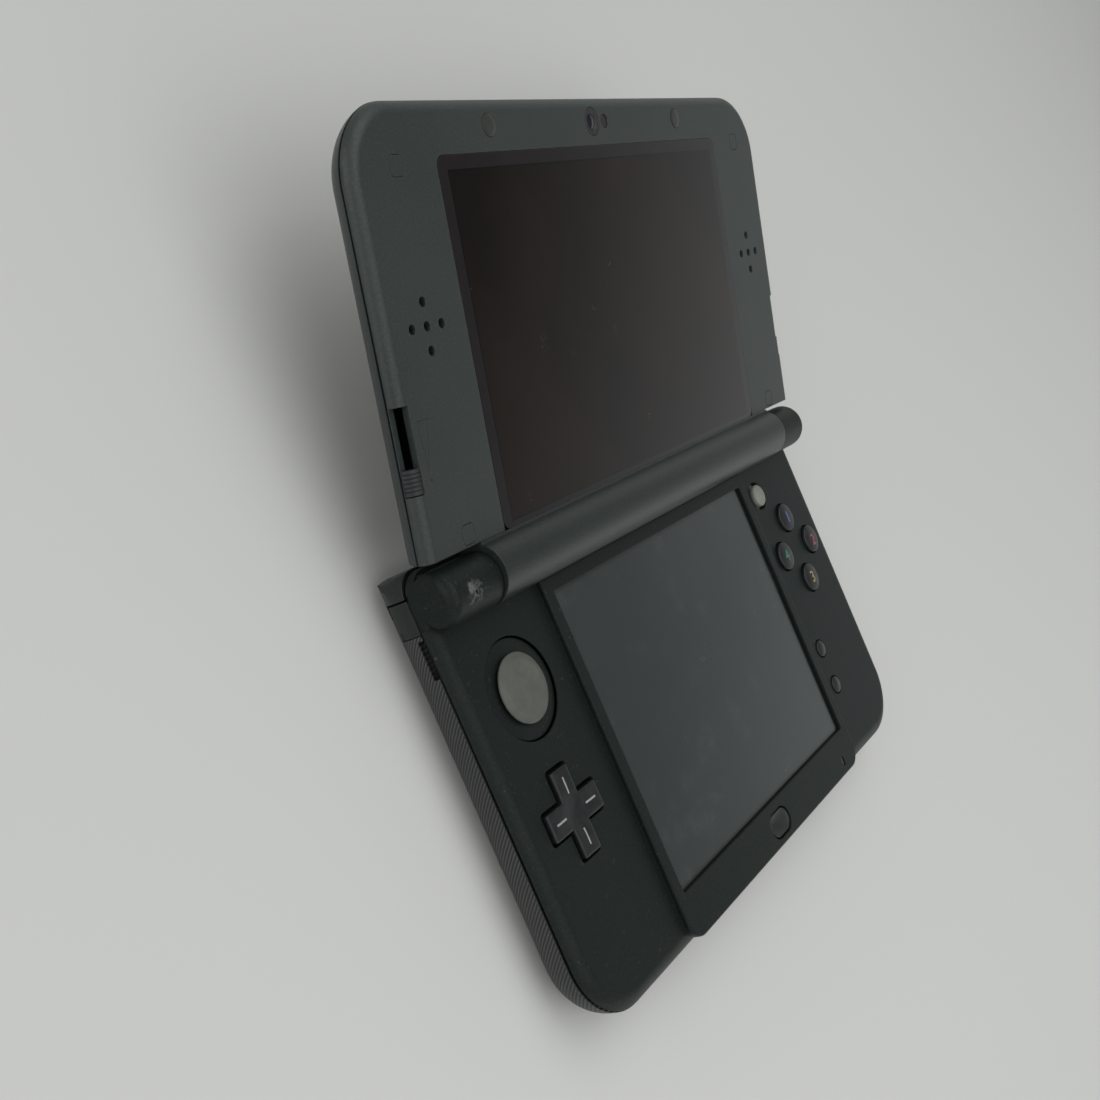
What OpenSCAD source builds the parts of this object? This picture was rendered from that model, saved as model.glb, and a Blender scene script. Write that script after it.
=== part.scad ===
// Clamshell handheld game console, lying open at its lid's stop.
// Frame: +Z up, origin in the middle of the base's underside, the player sits on the -Y side.
// The lid is drawn in its own frame: x along the hinge, y from the hinge out to the lid's far edge,
// z along the lid's face normal, and is set on the hinge axis by in_lid().

/* [Base] */
// Overall width of base and lid
body_w = 160; // [156:1:166]
// Depth of the base from front edge to rear face
base_d = 91; // [90:0.5:94]
// Height of the two side wings above the underside
wing_z = 11.8; // [11.6:0.1:12.2]
// Height of the seam between bottom cover and top shell
seam_z = 9.6; // [9.5:0.1:9.8]
// How far the middle panel stands above the wings
panel_rise = 1.3; // [1.1:0.1:1.4]
// Width of each side wing beside the raised middle panel
wing_w = 33.5; // [32.5:0.5:34]
// Plan radius of the front corners
corner_r = 14; // [11:0.5:16]
// Plan radius of the rear corners
rear_corner_r = 5; // [4:0.5:6]
// Radius of the rounding along the lower edge
lower_edge_r = 8.5; // [7:0.25:9]
// Wall of the shells
wall = 1.5; // [1.3:0.1:1.6]
// Set-back of the middle panel behind the base's front edge
panel_inset = 0.4; // [0.2:0.1:1]

/* [Hinge] */
// Radius of the hinge barrel
barrel_r = 6; // [5.8:0.1:6.1]
// Height of the hinge axis above the underside
hinge_z = 14.7; // [14.6:0.1:15]
// Length of each end barrel of the base, beside the lid's own barrel
end_barrel_w = 15.75; // [15:0.25:20]
// Radius of the steel hinge pins
pin_r = 2; // [1.5:0.1:2.5]
// Length of a hinge pin
pin_len = 20; // [16:1:22]
// Radial clearance of a pin in its bore
pin_play = 0.04; // [0.02:0.01:0.08]
// Tilt of the open lid above the level
open_tilt = 16; // [10:1:40]

/* [Lid] */
// Thickness of the lid
lid_t = 8.2; // [7.9:0.1:8.6]
// Depth of the lid's inner shell, from its face to the seam
lid_seam = 2.7; // [2.6:0.1:3]
// Height of the lid's face above the hinge axis
face_offset = 1.4; // [1.3:0.05:1.45]
// Distance from the hinge axis to the lid's far edge
lid_reach = 84.3; // [84:0.1:84.6]
// Width of the dome along the lid's back edge
dome_w = 7.5; // [6.5:0.5:9]

/* [Screens] */
// Width of the lid beside the upper picture
lid_side = 26.9; // [26.5:0.1:28]
// Depth of the lid beyond the upper picture, where the camera is
lid_top = 12.8; // [12.5:0.1:14.5]
// Width of the middle panel beside the lower picture
panel_side = 4; // [3.5:0.1:5]
// Depth of the lower screen's picture
lower_h = 63.7; // [62:0.1:64]
// Distance from the base's front edge to the lower picture
lower_front = 11; // [10.8:0.1:11.3]
// Distance from the hinge axis to the upper picture
upper_near = 7.8; // [7.7:0.1:8]
// Depth of the lower screen below the middle panel
screen_sink = 0.8; // [0.7:0.05:0.9]
// Border of the glass beside the upper picture
glass_side = 3.1; // [2.4:0.1:3.9]
// Thickness of the glass over the upper screen
glass_t = 0.8; // [0.7:0.05:0.9]

/* [Controls] */
// Diameter of a face button
face_button_d = 7.2; // [6.6:0.1:7.6]
// Distance from the middle of the face buttons to each button
face_button_offset = 8.4; // [8.2:0.1:8.8]
// Length of the direction pad across both arms
dpad_span = 17.2; // [16.6:0.1:17.6]
// Width of an arm of the direction pad
dpad_arm = 5.5; // [5:0.1:6]
// Diameter of the slide pad's cap
slide_cap_d = 13.7; // [12.5:0.1:13.9]
// Diameter of the opening round the slide pad
slide_hole_d = 20.2; // [19.6:0.1:20.3]
// Travel of the slide pad to each side
slide_travel = 2.3; // [2:0.1:2.4]
// Diameter of the pointing nub
nub_d = 5.6; // [5:0.1:6]
// Diameter of the start and select buttons
small_button_d = 4.2; // [3.8:0.1:4.6]
// Width of the home button
home_w = 9; // [8:0.1:10]
// Depth of the home button
home_d = 5.4; // [5:0.1:5.6]
// Height of every control above the wings
control_rise = 1.1; // [0.8:0.05:1.15]
// Gap round a button in its opening
button_gap = 0.3; // [0.25:0.05:0.35]
// Travel of the lid's two sliders
slider_travel = 10.6; // [9:0.1:11]

/* [Ports] */
// Width of the game card slot
card_w = 33.4; // [33:0.1:34]
// Height of the game card slot
card_h = 4.2; // [4.1:0.05:4.3]
// Depth of the game card slot
card_depth = 32; // [30:0.5:33]
// Bore radius of the headphone jack
jack_r = 1.8; // [1.7:0.05:1.9]
// Radius of the stylus
stylus_r = 2.15; // [1.9:0.05:2.2]
// Length of the stylus
stylus_len = 76; // [70:1:78]

/* [Hidden] */
$fn = 64;

// Overlap of a cutting tool past the face that it cuts
past = 1;
// Clearance between parts that stay still against each other
fit = 0.1;
// Clearance round what moves
run = 0.35;

// Widths and depths that follow the body's
panel_w = body_w - 2 * wing_w;
barrel_len = body_w - 2 * end_barrel_w;
upper_w = body_w - 2 * lid_side;
upper_h = lid_reach - upper_near - lid_top;
glass_w = upper_w + 2 * glass_side;
lower_w = panel_w - 2 * panel_side;

front_y = -base_d / 2;
rear_y = base_d / 2;
hinge_inset = 6.4;
cable_bore_r = 4;
hinge_y = rear_y - hinge_inset;
shell_rear_y = hinge_y + barrel_r;
plate_z = wing_z - wall;
panel_z = wing_z + panel_rise;
control_z = wing_z + control_rise;
trough_r = barrel_r + run;
trough_t = 1.1;
cover_rear_y = rear_y - 11.5;
panel_front_y = front_y + panel_inset;
panel_rear_y = hinge_y - barrel_r - 0.2;
wing_edge_w = 3.5;
wing_edge_h = wing_z - seam_z;
wing_edge_r = (wing_edge_w * wing_edge_w + wing_edge_h * wing_edge_h) / (2 * wing_edge_h);
wing_x = (body_w + panel_w) / 4;
end_barrel_r = barrel_r - 0.55;
end_barrel_edge = 2.5;

// Lower screen
picture_front_y = front_y + lower_front;
picture_rear_y = picture_front_y + lower_h;
screen_z = panel_z - screen_sink;
touch_t = 1;
touch_lap = 1.2;
window_rim = 1.1;
window_w = lower_w + 2 * window_rim;
display_t = 2.1;

// Inside the base
tray_t = 1;
tray_in = 3;
tray_corner_r = 10;
tray_z = seam_z - 2.7;
tray_top = tray_z + tray_t;
board_t = 0.7;
board_z = tray_top + 0.05;
board_top = board_z + board_t;
board_front_y = front_y + wall + 2.3;

// Places of the controls, from the front edge of the lower picture and the middle of a wing
slide_x = -wing_x + 0.45;
slide_y = picture_front_y + 51.4;
dpad_x = -wing_x - 0.15;
dpad_y = picture_front_y + 26.5;
face_x = wing_x - 0.95;
face_y = picture_front_y + 43.1;
nub_x = wing_x - 9.85;
nub_y = picture_front_y + 60;
small_x = panel_w / 2 + 6.2;
start_y = picture_front_y + 17.9;
select_y = picture_front_y + 7.9;
home_y = picture_front_y - 6.1;
status_x = panel_w / 2 - 8.5;
status_y = home_y - 1.4;
face_ways = [[0, 1], [1, 0], [0, -1], [-1, 0]];

// Button flanges under the shell
flange_lip = 0.9;
flange_t = 0.4;
flange_top = plate_z - fit;
dpad_pivot_z = board_top + 0.45;
dpad_top = wing_z + 0.75;
dpad_flange_z = board_top + 0.65;
dpad_flange_t = 0.4;
dpad_flange_r = 6;
dpad_gap = 0.6;
slide_surround = slide_hole_d / 2 + 2.5;
slide_rim_t = 0.7;
dpad_surround = dpad_span / 2 + dpad_gap + 1.2;
slide_post_r = 2;

// Front and rear edge
card_x = -panel_w / 2 + 4.5;
stylus_x = card_x + 25;
stylus_z = 4.7;
stylus_play = 0.25;
stylus_tube_t = 0.6;
stylus_rear_y = front_y + stylus_len + 1;
socket_front_y = front_y + 3.2;
card_z = 3.4;
card_wall = 0.8;
card_floor = 0.5;
card_roof = 0.3;
jack_x = 0;
jack_z = 5.5;
jack_w = 6.4;
jack_len = 12;
jack_collar_r = jack_r + 0.5;
jack_front_y = front_y + 1.2;
power_x = body_w / 2 - 23;
power_z = 7;
power_w = 8;
power_h = 2.2;
port_w = 8.2;
port_h = 2.8;
port_z = 4.4;
port_wall = 0.6;
port_len = 7.5;

memory_x = wing_x - 3;
memory_y = select_y + 2;
memory_w = 11.2;
memory_len = 15;
infrared_x = -24;
infrared_w = 7;
infrared_h = 3;

// Shoulder buttons and triggers
shoulder_in = body_w / 2 - 21;
shoulder_front_y = rear_y - 4.5;
shoulder_z = 2.6;
shoulder_wall = 2;
shoulder_pin_r = 0.9;
shoulder_pin_x = body_w / 2 - 4.2;
shoulder_pin_y = rear_y - 2.9;
trigger_x = body_w / 2 - 30;
trigger_w = 12;
trigger_z = 3.4;
trigger_h = 4.6;
trigger_proud = 0.5;
trigger_clear = trigger_x - trigger_w / 2 - 2;

// Battery
battery_x0 = stylus_x + 6;
battery_x1 = panel_w / 2 + 2.5;
battery_w = battery_x1 - battery_x0;
battery_x = (battery_x0 + battery_x1) / 2;
battery_l = 42;
battery_t = 4.6;
battery_y = -6;
bay_wall = 1;

// Screws
rest_pad_x = body_w / 2 - 24;
rest_pad_r = 3;
rest_pad_t = 0.9;
cover_screw_x = body_w / 2 - 14;
cover_screw_y = 21;
shell_screw_x = body_w / 2 - 6;
shell_screw_head_r = 1.9;
cover_screw_head_r = 2.1;
screw_r = 1;
screw_play = 0.05;

// Lid frame
face_z = face_offset;
lid_seam_z = face_z - lid_seam;
back_z = face_z - lid_t;
lid_near = barrel_r + run;
dome_h = lid_t - lid_seam;
dome_r = (dome_w * dome_w + dome_h * dome_h) / (2 * dome_h);
lid_plate_z = face_z - 1.4;
lid_floor_z = back_z + 1.4;
near_edge_r = 3.5;
glass_far = upper_near + upper_h + 2.9;
camera_y = lid_reach - 5;
sensor_x = 5.15;
speaker_x = body_w / 2 - 12.3;
speaker_y = upper_near + 0.6 * upper_h;
speaker_arm = 4.25;
speaker_hole_r = 0.9;
speaker_w = 13;
speaker_len = 18;
speaker_t = 3.1;
slot_near = upper_near + 10.6;
slot_depth = 2.8;
slider_len = 4.5;
slider_gap = 0.2;
lid_screw_at = [[body_w / 2 - 12.3, lid_reach - 11.1], [body_w / 2 - 12.7, upper_near + 0.9]];
screw_cover_w = 3.6;
bumper_x = upper_w / 2 - 15.1;
bumper_r = 2.1;
bumper_proud = 0.12;
outer_camera_x = 17.5;
outer_camera_r = 3;
outer_camera_y = lid_reach - 11.5;

// ---- Shapes that repeat ----

// Section of a slab's edge: it runs from x = 0 to the outline at x = reach, and from lo to hi in y;
// an arc of radius r that starts ex inside the outline rounds it towards hi, or lo if !up.
module edge_section(reach, lo, hi, ex, r, up = true) {
    translate([0, lo]) square([reach - ex, hi - lo]);
    intersection() {
        translate([reach - ex, lo]) square([ex, hi - lo]);
        union() {
            translate([reach - ex, up ? hi - r : lo + r]) circle(r);
            if (hi - lo > r && ex == r)
                translate([reach - ex, up ? lo : lo + r]) square([ex, hi - lo - r]);
        }
    }
}

// Slab of width w from y0 to y1 whose edge section is swept round the corners; a corner radius
// of 0 leaves that end cut straight.
module swept_slab(w, y0, y1, r0, r1, lo, hi, ex, r, up = true) {
    translate([0, y1 - r1, 0]) rotate([90, 0, 0]) linear_extrude(y1 - y0 - r0 - r1) {
        edge_section(w / 2, lo, hi, ex, r, up);
        mirror([1, 0]) edge_section(w / 2, lo, hi, ex, r, up);
    }
    if (r0 > 0) {
        translate([w / 2 - r0, y0 + r0, 0]) rotate([90, 0, -90]) linear_extrude(w - 2 * r0)
            edge_section(r0, lo, hi, ex, r, up);
        both_sides() translate([w / 2 - r0, y0 + r0, 0]) rotate([0, 0, -90])
            rotate_extrude(angle = 90) edge_section(r0, lo, hi, ex, r, up);
    }
    if (r1 > 0) {
        translate([-w / 2 + r1, y1 - r1, 0]) rotate([90, 0, 90]) linear_extrude(w - 2 * r1)
            edge_section(r1, lo, hi, ex, r, up);
        both_sides() translate([w / 2 - r1, y1 - r1, 0])
            rotate_extrude(angle = 90) edge_section(r1, lo, hi, ex, r, up);
    }
}

// Rectangle with round corners, from [x0, y0] to [x1, y1]
module round_rect(x0, y0, x1, y1, r) {
    translate([x0 + r, y0]) square([x1 - x0 - 2 * r, y1 - y0]);
    translate([x0, y0 + r]) square([x1 - x0, y1 - y0 - 2 * r]);
    for (x = [x0 + r, x1 - r], y = [y0 + r, y1 - r]) translate([x, y]) circle(r);
}

// Plate with round corners, centred on x and y = 0
module plate(w, d, r, z0, z1) {
    translate([0, 0, z0]) linear_extrude(z1 - z0) round_rect(-w / 2, -d / 2, w / 2, d / 2, r);
}

module box(x0, x1, y0, y1, z0, z1) {
    translate([x0, y0, z0]) cube([x1 - x0, y1 - y0, z1 - z0]);
}

module disc(r, z0, z1) {
    translate([0, 0, z0]) cylinder(r = r, h = z1 - z0);
}

// Cylinder along x from x0 to x1, on the axis y = 0, z = 0
module axle(r, x0, x1) {
    translate([x0, 0, 0]) rotate([0, 90, 0]) cylinder(r = r, h = x1 - x0);
}

// Cylinder along y from y0 to y1
module rod(r, y0, y1) {
    translate([0, y1, 0]) rotate([90, 0, 0]) cylinder(r = r, h = y1 - y0);
}

module both_sides() {
    children();
    mirror([1, 0, 0]) children();
}

module on_hinge() {
    translate([0, hinge_y, hinge_z]) children();
}

module in_lid() {
    on_hinge() rotate([open_tilt, 0, 0]) children();
}

// Round button with a soft top edge, a flange under the shell and a hollow under its cap
module round_button(d, top, flange_z, hollow) {
    edge = 0.4;
    difference() {
        union() {
            rotate_extrude() {
                square([d / 2, top - edge]);
                square([d / 2 - edge, top]);
                translate([d / 2 - edge, top - edge]) circle(edge);
            }
            disc(d / 2 + button_gap + flange_lip, flange_z - flange_t, flange_z);
        }
        disc(d / 2 + 2, -past, flange_z - flange_t);
        if (hollow > 0) disc(hollow, 0, flange_z + 0.5);
    }
}

// ---- Base: shells ----

module base_plan(rear) {
    translate([0, 0, -past]) linear_extrude(40)
        round_rect(-body_w / 2, front_y, body_w / 2, rear, rear_corner_r);
}

module trough(r) {
    on_hinge() axle(r, -barrel_len / 2 - run, barrel_len / 2 + run);
}

// It is lower and a little further forward than the central barrel, with a rounded outer end
module end_barrel() {
    inset = 0.2;
    x0 = barrel_len / 2 + run;
    x1 = body_w / 2 - inset;
    y = hinge_y - barrel_r + end_barrel_r;
    z = hinge_z - barrel_r + end_barrel_r;
    intersection() {
        union() {
            translate([0, y, z]) rotate([0, 90, 0]) rotate_extrude() union() {
                translate([0, x0]) square([end_barrel_r, x1 - x0 - end_barrel_edge]);
                translate([0, x0]) square([end_barrel_r - end_barrel_edge, x1 - x0]);
                translate([end_barrel_r - end_barrel_edge, x1 - end_barrel_edge])
                    circle(end_barrel_edge);
            }
            box(x0, x1, hinge_y - barrel_r + 1.5, shell_rear_y, seam_z, wing_z);
            box(x0, x1 - end_barrel_edge, hinge_y - barrel_r + 1.5, y + end_barrel_r, seam_z, z);
        }
        translate([0, 0, seam_z + 0.1]) linear_extrude(20)
            round_rect(0, hinge_y - 20, body_w / 2 - inset, shell_rear_y - inset, rear_corner_r);
    }
}

// Crossed arms, each bevelled along its top edges
module dpad_cross(span, arm, bevel) {
    half = span / 2;
    low = dpad_flange_z + dpad_flange_t - 0.1;
    for (turn = [0, 90]) rotate([0, 0, turn]) intersection() {
        rotate([90, 0, 90]) translate([0, 0, -half]) linear_extrude(span)
            bevelled(arm / 2, low, bevel);
        rotate([90, 0, 0]) translate([0, 0, -half]) linear_extrude(span)
            bevelled(half, low, bevel);
    }
}

module bevelled(half, low, bevel) {
    polygon([[-half, low], [half, low], [half, dpad_top - bevel], [half - bevel, dpad_top],
        [-half + bevel, dpad_top], [-half, dpad_top - bevel]]);
}

module dpad_hole() {
    for (turn = [0, 90]) translate([dpad_x, dpad_y, seam_z]) rotate([0, 0, turn])
        linear_extrude(wing_z - seam_z + past)
            round_rect(-dpad_span / 2 - dpad_gap, -dpad_arm / 2 - dpad_gap,
                dpad_span / 2 + dpad_gap, dpad_arm / 2 + dpad_gap, 0.8);
}

module control_holes() {
    for (way = face_ways)
        translate([face_x + way[0] * face_button_offset, face_y + way[1] * face_button_offset, 0])
            disc(face_button_d / 2 + button_gap, seam_z, wing_z + past);
    translate([nub_x, nub_y, 0]) disc(nub_d / 2 + 0.8, seam_z, wing_z + past);
    for (y = [start_y, select_y])
        translate([small_x, y, 0]) disc(small_button_d / 2 + button_gap, seam_z, wing_z + past);
    translate([0, home_y, 0])
        plate(home_w + 2 * button_gap, home_d + 2 * button_gap, home_d / 2 + button_gap - 0.01,
            seam_z, panel_z + past);
    translate([status_x, status_y, 0]) plate(1.2, 2.2, 0.5, seam_z, panel_z + past);
}

module shell_screw_places() {
    for (x = [-shell_screw_x, shell_screw_x], y = [select_y, hinge_y - 2.6])
        translate([x, y, 0]) children();
}

// Flat places of the left wing round the slide pad and the direction pad
module wing_places(z0, z1) {
    translate([slide_x, slide_y, 0])
        box(-slide_surround, slide_surround, -slide_surround, slide_surround, z0, z1);
    translate([dpad_x, dpad_y, 0])
        box(-dpad_surround, dpad_surround, -dpad_surround, dpad_surround, z0, z1);
}

module slide_pad_surround() {
    color("#26292a") translate([slide_x, slide_y, 0]) difference() {
        box(-slide_surround, slide_surround, -slide_surround, slide_surround,
            wing_z - slide_rim_t, wing_z);
        disc(slide_hole_d / 2, seam_z, wing_z + past);
    }
}

module direction_pad_surround() {
    color("#26292a") difference() {
        translate([dpad_x, dpad_y, 0])
            box(-dpad_surround, dpad_surround, -dpad_surround, dpad_surround, plate_z, wing_z);
        dpad_hole();
    }
}

module base_top_shell() {
    panel_edge = 0.5;
    cavity_in = wall + 0.2;
    color("#26292a") difference() {
        union() {
            swept_slab(body_w, front_y, shell_rear_y, corner_r, rear_corner_r, seam_z, wing_z,
                wing_edge_w, wing_edge_r);
            swept_slab(panel_w, panel_front_y, panel_rear_y, 4.5, 0, plate_z, panel_z,
                panel_edge, panel_edge);
            both_sides() end_barrel();
            intersection() {
                trough(trough_r + trough_t);
                union() {
                    box(-body_w / 2, body_w / 2, panel_rear_y, shoulder_front_y + 0.9, 0, wing_z);
                    box(-trigger_clear, trigger_clear, panel_rear_y, rear_y - wall - 0.5, 0,
                        wing_z);
                }
            }
        }
        // Space under the wings
        difference() {
            translate([0, 0, seam_z - past]) linear_extrude(plate_z - seam_z + past)
                round_rect(-body_w / 2 + cavity_in, front_y + cavity_in, body_w / 2 - cavity_in,
                    hinge_y - barrel_r - 0.4, corner_r - cavity_in);
            shell_screw_places() disc(2.4, 0, wing_z);
        }
        trough(trough_r);
        // Room for the screen: its window, the touch panel's step and the display
        translate([0, 0, plate_z]) linear_extrude(panel_z)
            round_rect(-window_w / 2, picture_front_y - 0.9, window_w / 2, picture_rear_y + 0.7,
                0.6);
        box(-window_w / 2 - touch_lap - fit, window_w / 2 + touch_lap + fit,
            picture_front_y - 2.5 - fit, picture_rear_y + 1.9 + fit, seam_z - past,
            screen_z + 0.05);
        // Room for the home button's flange
        translate([0, home_y, 0]) plate(home_w + 3, home_d + 2.4, 2, seam_z - past, panel_z - wall);
        control_holes();
        wing_places(seam_z, wing_z + past);
        both_sides() on_hinge()
            axle(pin_r + pin_play, barrel_len / 2 - past, barrel_len / 2 + pin_len / 2 + 0.8);
        both_sides() translate([shoulder_pin_x, shoulder_pin_y, 0])
            disc(shoulder_pin_r + screw_play, seam_z - past, seam_z + 1.6);
        shell_screw_places() disc(screw_r + screw_play, 0, seam_z + 1);
        // The rear wall behind the barrel ends at the seam
        box(-barrel_len / 2 - run, barrel_len / 2 + run, hinge_y + trough_r * 0.7, rear_y + past,
            seam_z - past, hinge_z);
    }
}

// Outer form of the base below the seam, behind the bottom cover
module rear_body() {
    edge = 4;
    intersection() {
        swept_slab(body_w, cover_rear_y + 0.15, rear_y, 0, 0, 0, seam_z, lower_edge_r,
            lower_edge_r, false);
        base_plan(rear_y);
        rotate([90, 0, 90]) translate([0, 0, -body_w / 2]) linear_extrude(body_w) union() {
            translate([cover_rear_y, 0]) square([rear_y - cover_rear_y - edge, seam_z]);
            translate([cover_rear_y, edge]) square([rear_y - cover_rear_y, seam_z - edge]);
            translate([rear_y - edge, edge]) circle(edge);
        }
    }
}

module shoulder_window(gap) {
    box(shoulder_in - gap, body_w, shoulder_front_y - gap, rear_y + past, shoulder_z - gap,
        seam_z + past);
}

module trigger_window(gap) {
    translate([trigger_x, rear_y - 5, trigger_z + trigger_h / 2]) rotate([-90, 0, 0])
        plate(trigger_w + 2 * gap, trigger_h + 2 * gap, 1.2, 0, 10);
}

module stylus_axis() {
    translate([stylus_x, 0, stylus_z]) children();
}

// Outer form of the game card slot, larger by gap, and longer by front towards the front edge
module card_slot_block(gap, front) {
    box(card_x - card_w / 2 - card_wall - gap, card_x + card_w / 2 + card_wall + gap,
        socket_front_y - gap - front, socket_front_y + card_depth + card_wall + gap,
        card_z - card_floor - gap, card_z + card_h + card_roof + gap);
}

module headphone_block(gap) {
    box(jack_x - jack_w / 2 - gap, jack_x + jack_w / 2 + gap, socket_front_y - gap,
        socket_front_y + jack_len + gap, jack_z - jack_r - 0.7 - gap, board_z - 0.1 + gap);
}

module bottom_housing() {
    bay_w = battery_w + 2 * (fit + bay_wall);
    bay_l = battery_l + 2 * (fit + bay_wall);
    color("#232626") difference() {
        union() {
            difference() {
                rear_body();
                swept_slab(body_w - 2 * wall, cover_rear_y - past, rear_y - wall, 0, 0, wall,
                    seam_z + past, lower_edge_r - wall, lower_edge_r - wall, false);
            }
            // Tray that carries the main board, with the battery's bay under it
            translate([0, 0, tray_z]) linear_extrude(tray_t)
                round_rect(-body_w / 2 + tray_in, board_front_y, body_w / 2 - tray_in,
                    rear_y - wall / 2, tray_corner_r);
            box(-body_w / 2 + wall / 2, body_w / 2 - wall / 2, cover_rear_y + 0.15,
                cover_rear_y + 1.6, wall + 3, tray_top);
            translate([battery_x, battery_y, 0]) plate(bay_w, bay_l, 2, wall + fit, tray_z + fit);
            stylus_axis() rod(stylus_r + stylus_play + stylus_tube_t, front_y + lower_edge_r,
                stylus_rear_y + 1);
            cover_screw_places() disc(2.4, 3.3, tray_z + fit);
        }
        translate([battery_x, battery_y, 0])
            plate(battery_w + 2 * fit, battery_l + 2 * fit, 1, 0, tray_z);
        stylus_axis() rod(stylus_r + stylus_play, front_y, stylus_rear_y);
        // Game card slot and headphone jack pass through the tray
        card_slot_block(0.3, 6);
        headphone_block(0.3);
        both_sides() {
            shoulder_window(run);
            trigger_window(run);
            translate([shoulder_pin_x, shoulder_pin_y, 0])
                disc(shoulder_pin_r + screw_play, 1.6, seam_z);
            // Room behind a shoulder button and a trigger for their travel
            box(trigger_x - trigger_w / 2 - 1.6, body_w / 2 - wall, shoulder_front_y - 2.6,
                rear_y - wall, wall + 1, seam_z + past);
        }
        translate([0, rear_y - wall / 2, port_z]) rotate([90, 0, 0])
            plate(port_w + 2 * port_wall + 2 * fit, port_h + 2 * port_wall + 2 * fit, 1,
                -wall, 8);
        translate([infrared_x, rear_y, port_z]) rotate([90, 0, 0])
            plate(infrared_w + 2 * fit, infrared_h + 2 * fit, 1, -past, wall + past);
        cover_screw_places() disc(screw_r + screw_play, 3, tray_z - 0.4);
        // Wells through which the shell screws are driven
        shell_screw_places() {
            disc(shell_screw_head_r + fit, -past, tray_z);
            disc(screw_r + fit, tray_z - past, tray_top + past);
        }
        trough(trough_r + trough_t + fit);
    }
}

// Outer form of the bottom cover, carried on to the rear
module cover_body(rear = rear_y) {
    swept_slab(body_w, front_y, rear, corner_r, 0, 0, seam_z, lower_edge_r, lower_edge_r, false);
}

module cover_screw_places() {
    for (x = [-cover_screw_x, cover_screw_x]) translate([x, cover_screw_y, 0]) children();
}

module rest_pad_places() {
    for (x = [-rest_pad_x, rest_pad_x], y = [front_y + 12.5, cover_rear_y - 6])
        translate([x, y, 0]) children();
}

module bottom_cover() {
    notch_w = 7.4;
    color("#333434") difference() {
        union() {
            difference() {
                cover_body(cover_rear_y);
                swept_slab(body_w - 2 * wall, front_y + wall, cover_rear_y + past,
                    corner_r - wall, 0, wall, seam_z + past, lower_edge_r - wall,
                    lower_edge_r - wall, false);
            }
            cover_screw_places() disc(3.4, wall / 2, 3.2);
        }
        cover_screw_places() {
            disc(cover_screw_head_r + 0.2, -past, 2);
            disc(screw_r + fit, 0, 4);
        }
        rest_pad_places() disc(rest_pad_r + fit, -past, rest_pad_t + 0.02);
        box(card_x - card_w / 2, card_x + card_w / 2, front_y - past, socket_front_y,
            card_z, card_z + card_h);
        card_slot_block(fit, 0);
        translate([jack_x, 0, jack_z]) rod(jack_collar_r + fit, front_y - past, socket_front_y);
        headphone_block(fit);
        stylus_axis() rod(stylus_r + stylus_play, front_y - past, front_y + lower_edge_r);
        translate([power_x, front_y + wall + past, power_z]) rotate([90, 0, 0])
            plate(power_w + 2 * button_gap, power_h + 2 * button_gap,
                power_h / 2 + button_gap - 0.01, 0, wall + 3);
        // Pry notch in each side's rim
        both_sides() box(body_w / 2 - 1.1, body_w / 2 + past, cover_rear_y - 0.9 - notch_w,
            cover_rear_y - 0.9, seam_z - 1.4, seam_z + past);
    }
}

module rest_pads() {
    color("#1b1c1c") rest_pad_places() disc(rest_pad_r, 0, rest_pad_t);
}

module cover_screws() {
    color("#8b8d8f") cover_screw_places() difference() {
        union() {
            disc(cover_screw_head_r, 0.8, 1.9);
            disc(screw_r, 1.5, tray_z - 0.5);
        }
        for (turn = [0, 90]) rotate([0, 0, turn]) box(-1.2, 1.2, -0.2, 0.2, 0, 1.3);
    }
}

module housing_screws() {
    color("#8b8d8f") shell_screw_places() difference() {
        union() {
            disc(shell_screw_head_r, tray_z - 1.3, tray_z - 0.05);
            disc(screw_r, tray_z - 0.3, seam_z + 0.8);
        }
        for (turn = [0, 90]) rotate([0, 0, turn]) box(-1.1, 1.1, -0.2, 0.2, 0, tray_z - 0.9);
    }
}

// ---- Base: screen, boards and sockets ----

module touch_panel() {
    color("#2b3332") box(-window_w / 2 - touch_lap, window_w / 2 + touch_lap,
        picture_front_y - 2.5, picture_rear_y + 1.9, screen_z - touch_t, screen_z);
}

module lower_display() {
    color("#6f7173") translate([0, (picture_front_y + picture_rear_y) / 2, 0])
        plate(lower_w + 3, lower_h + 3, 1, screen_z - touch_t - 0.05 - display_t,
            screen_z - touch_t - 0.05);
}

module main_board() {
    color("#1f5a3a") difference() {
        translate([0, 0, board_z]) linear_extrude(board_t)
            round_rect(-body_w / 2 + 5, board_front_y + 0.5, body_w / 2 - 5,
                hinge_y - barrel_r - 1.8, 10);
        // Clear of the slide pad's slides and of the screw bosses
        box(-body_w / 2, slide_x + 16, slide_y - 15.6, rear_y, 0, wing_z);
        shell_screw_places() disc(2.8, 0, wing_z);
    }
}

module wireless_module() {
    color("#9a9c9e") translate([wing_x - 4, select_y - 8, 0])
        plate(12, 9, 0.5, board_top + 0.02, board_top + 0.9);
}

module battery() {
    color("#2c2f33") translate([battery_x, battery_y, 0])
        plate(battery_w, battery_l, 1, wall + 0.2, wall + 0.2 + battery_t);
}

module game_card_slot() {
    color("#5b5e60") difference() {
        card_slot_block(0, 0);
        box(card_x - card_w / 2, card_x + card_w / 2, front_y, socket_front_y + card_depth,
            card_z, card_z + card_h);
    }
}

module memory_card_slot() {
    color("#85888a") difference() {
        translate([memory_x, memory_y, 0])
            plate(memory_w + 2.8, memory_len, 0.6, tray_z - 2, tray_z - 0.05);
        translate([memory_x, memory_y - 1, 0])
            plate(memory_w, memory_len, 0.3, tray_z - 1.6, tray_z - 0.7);
    }
}

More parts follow.
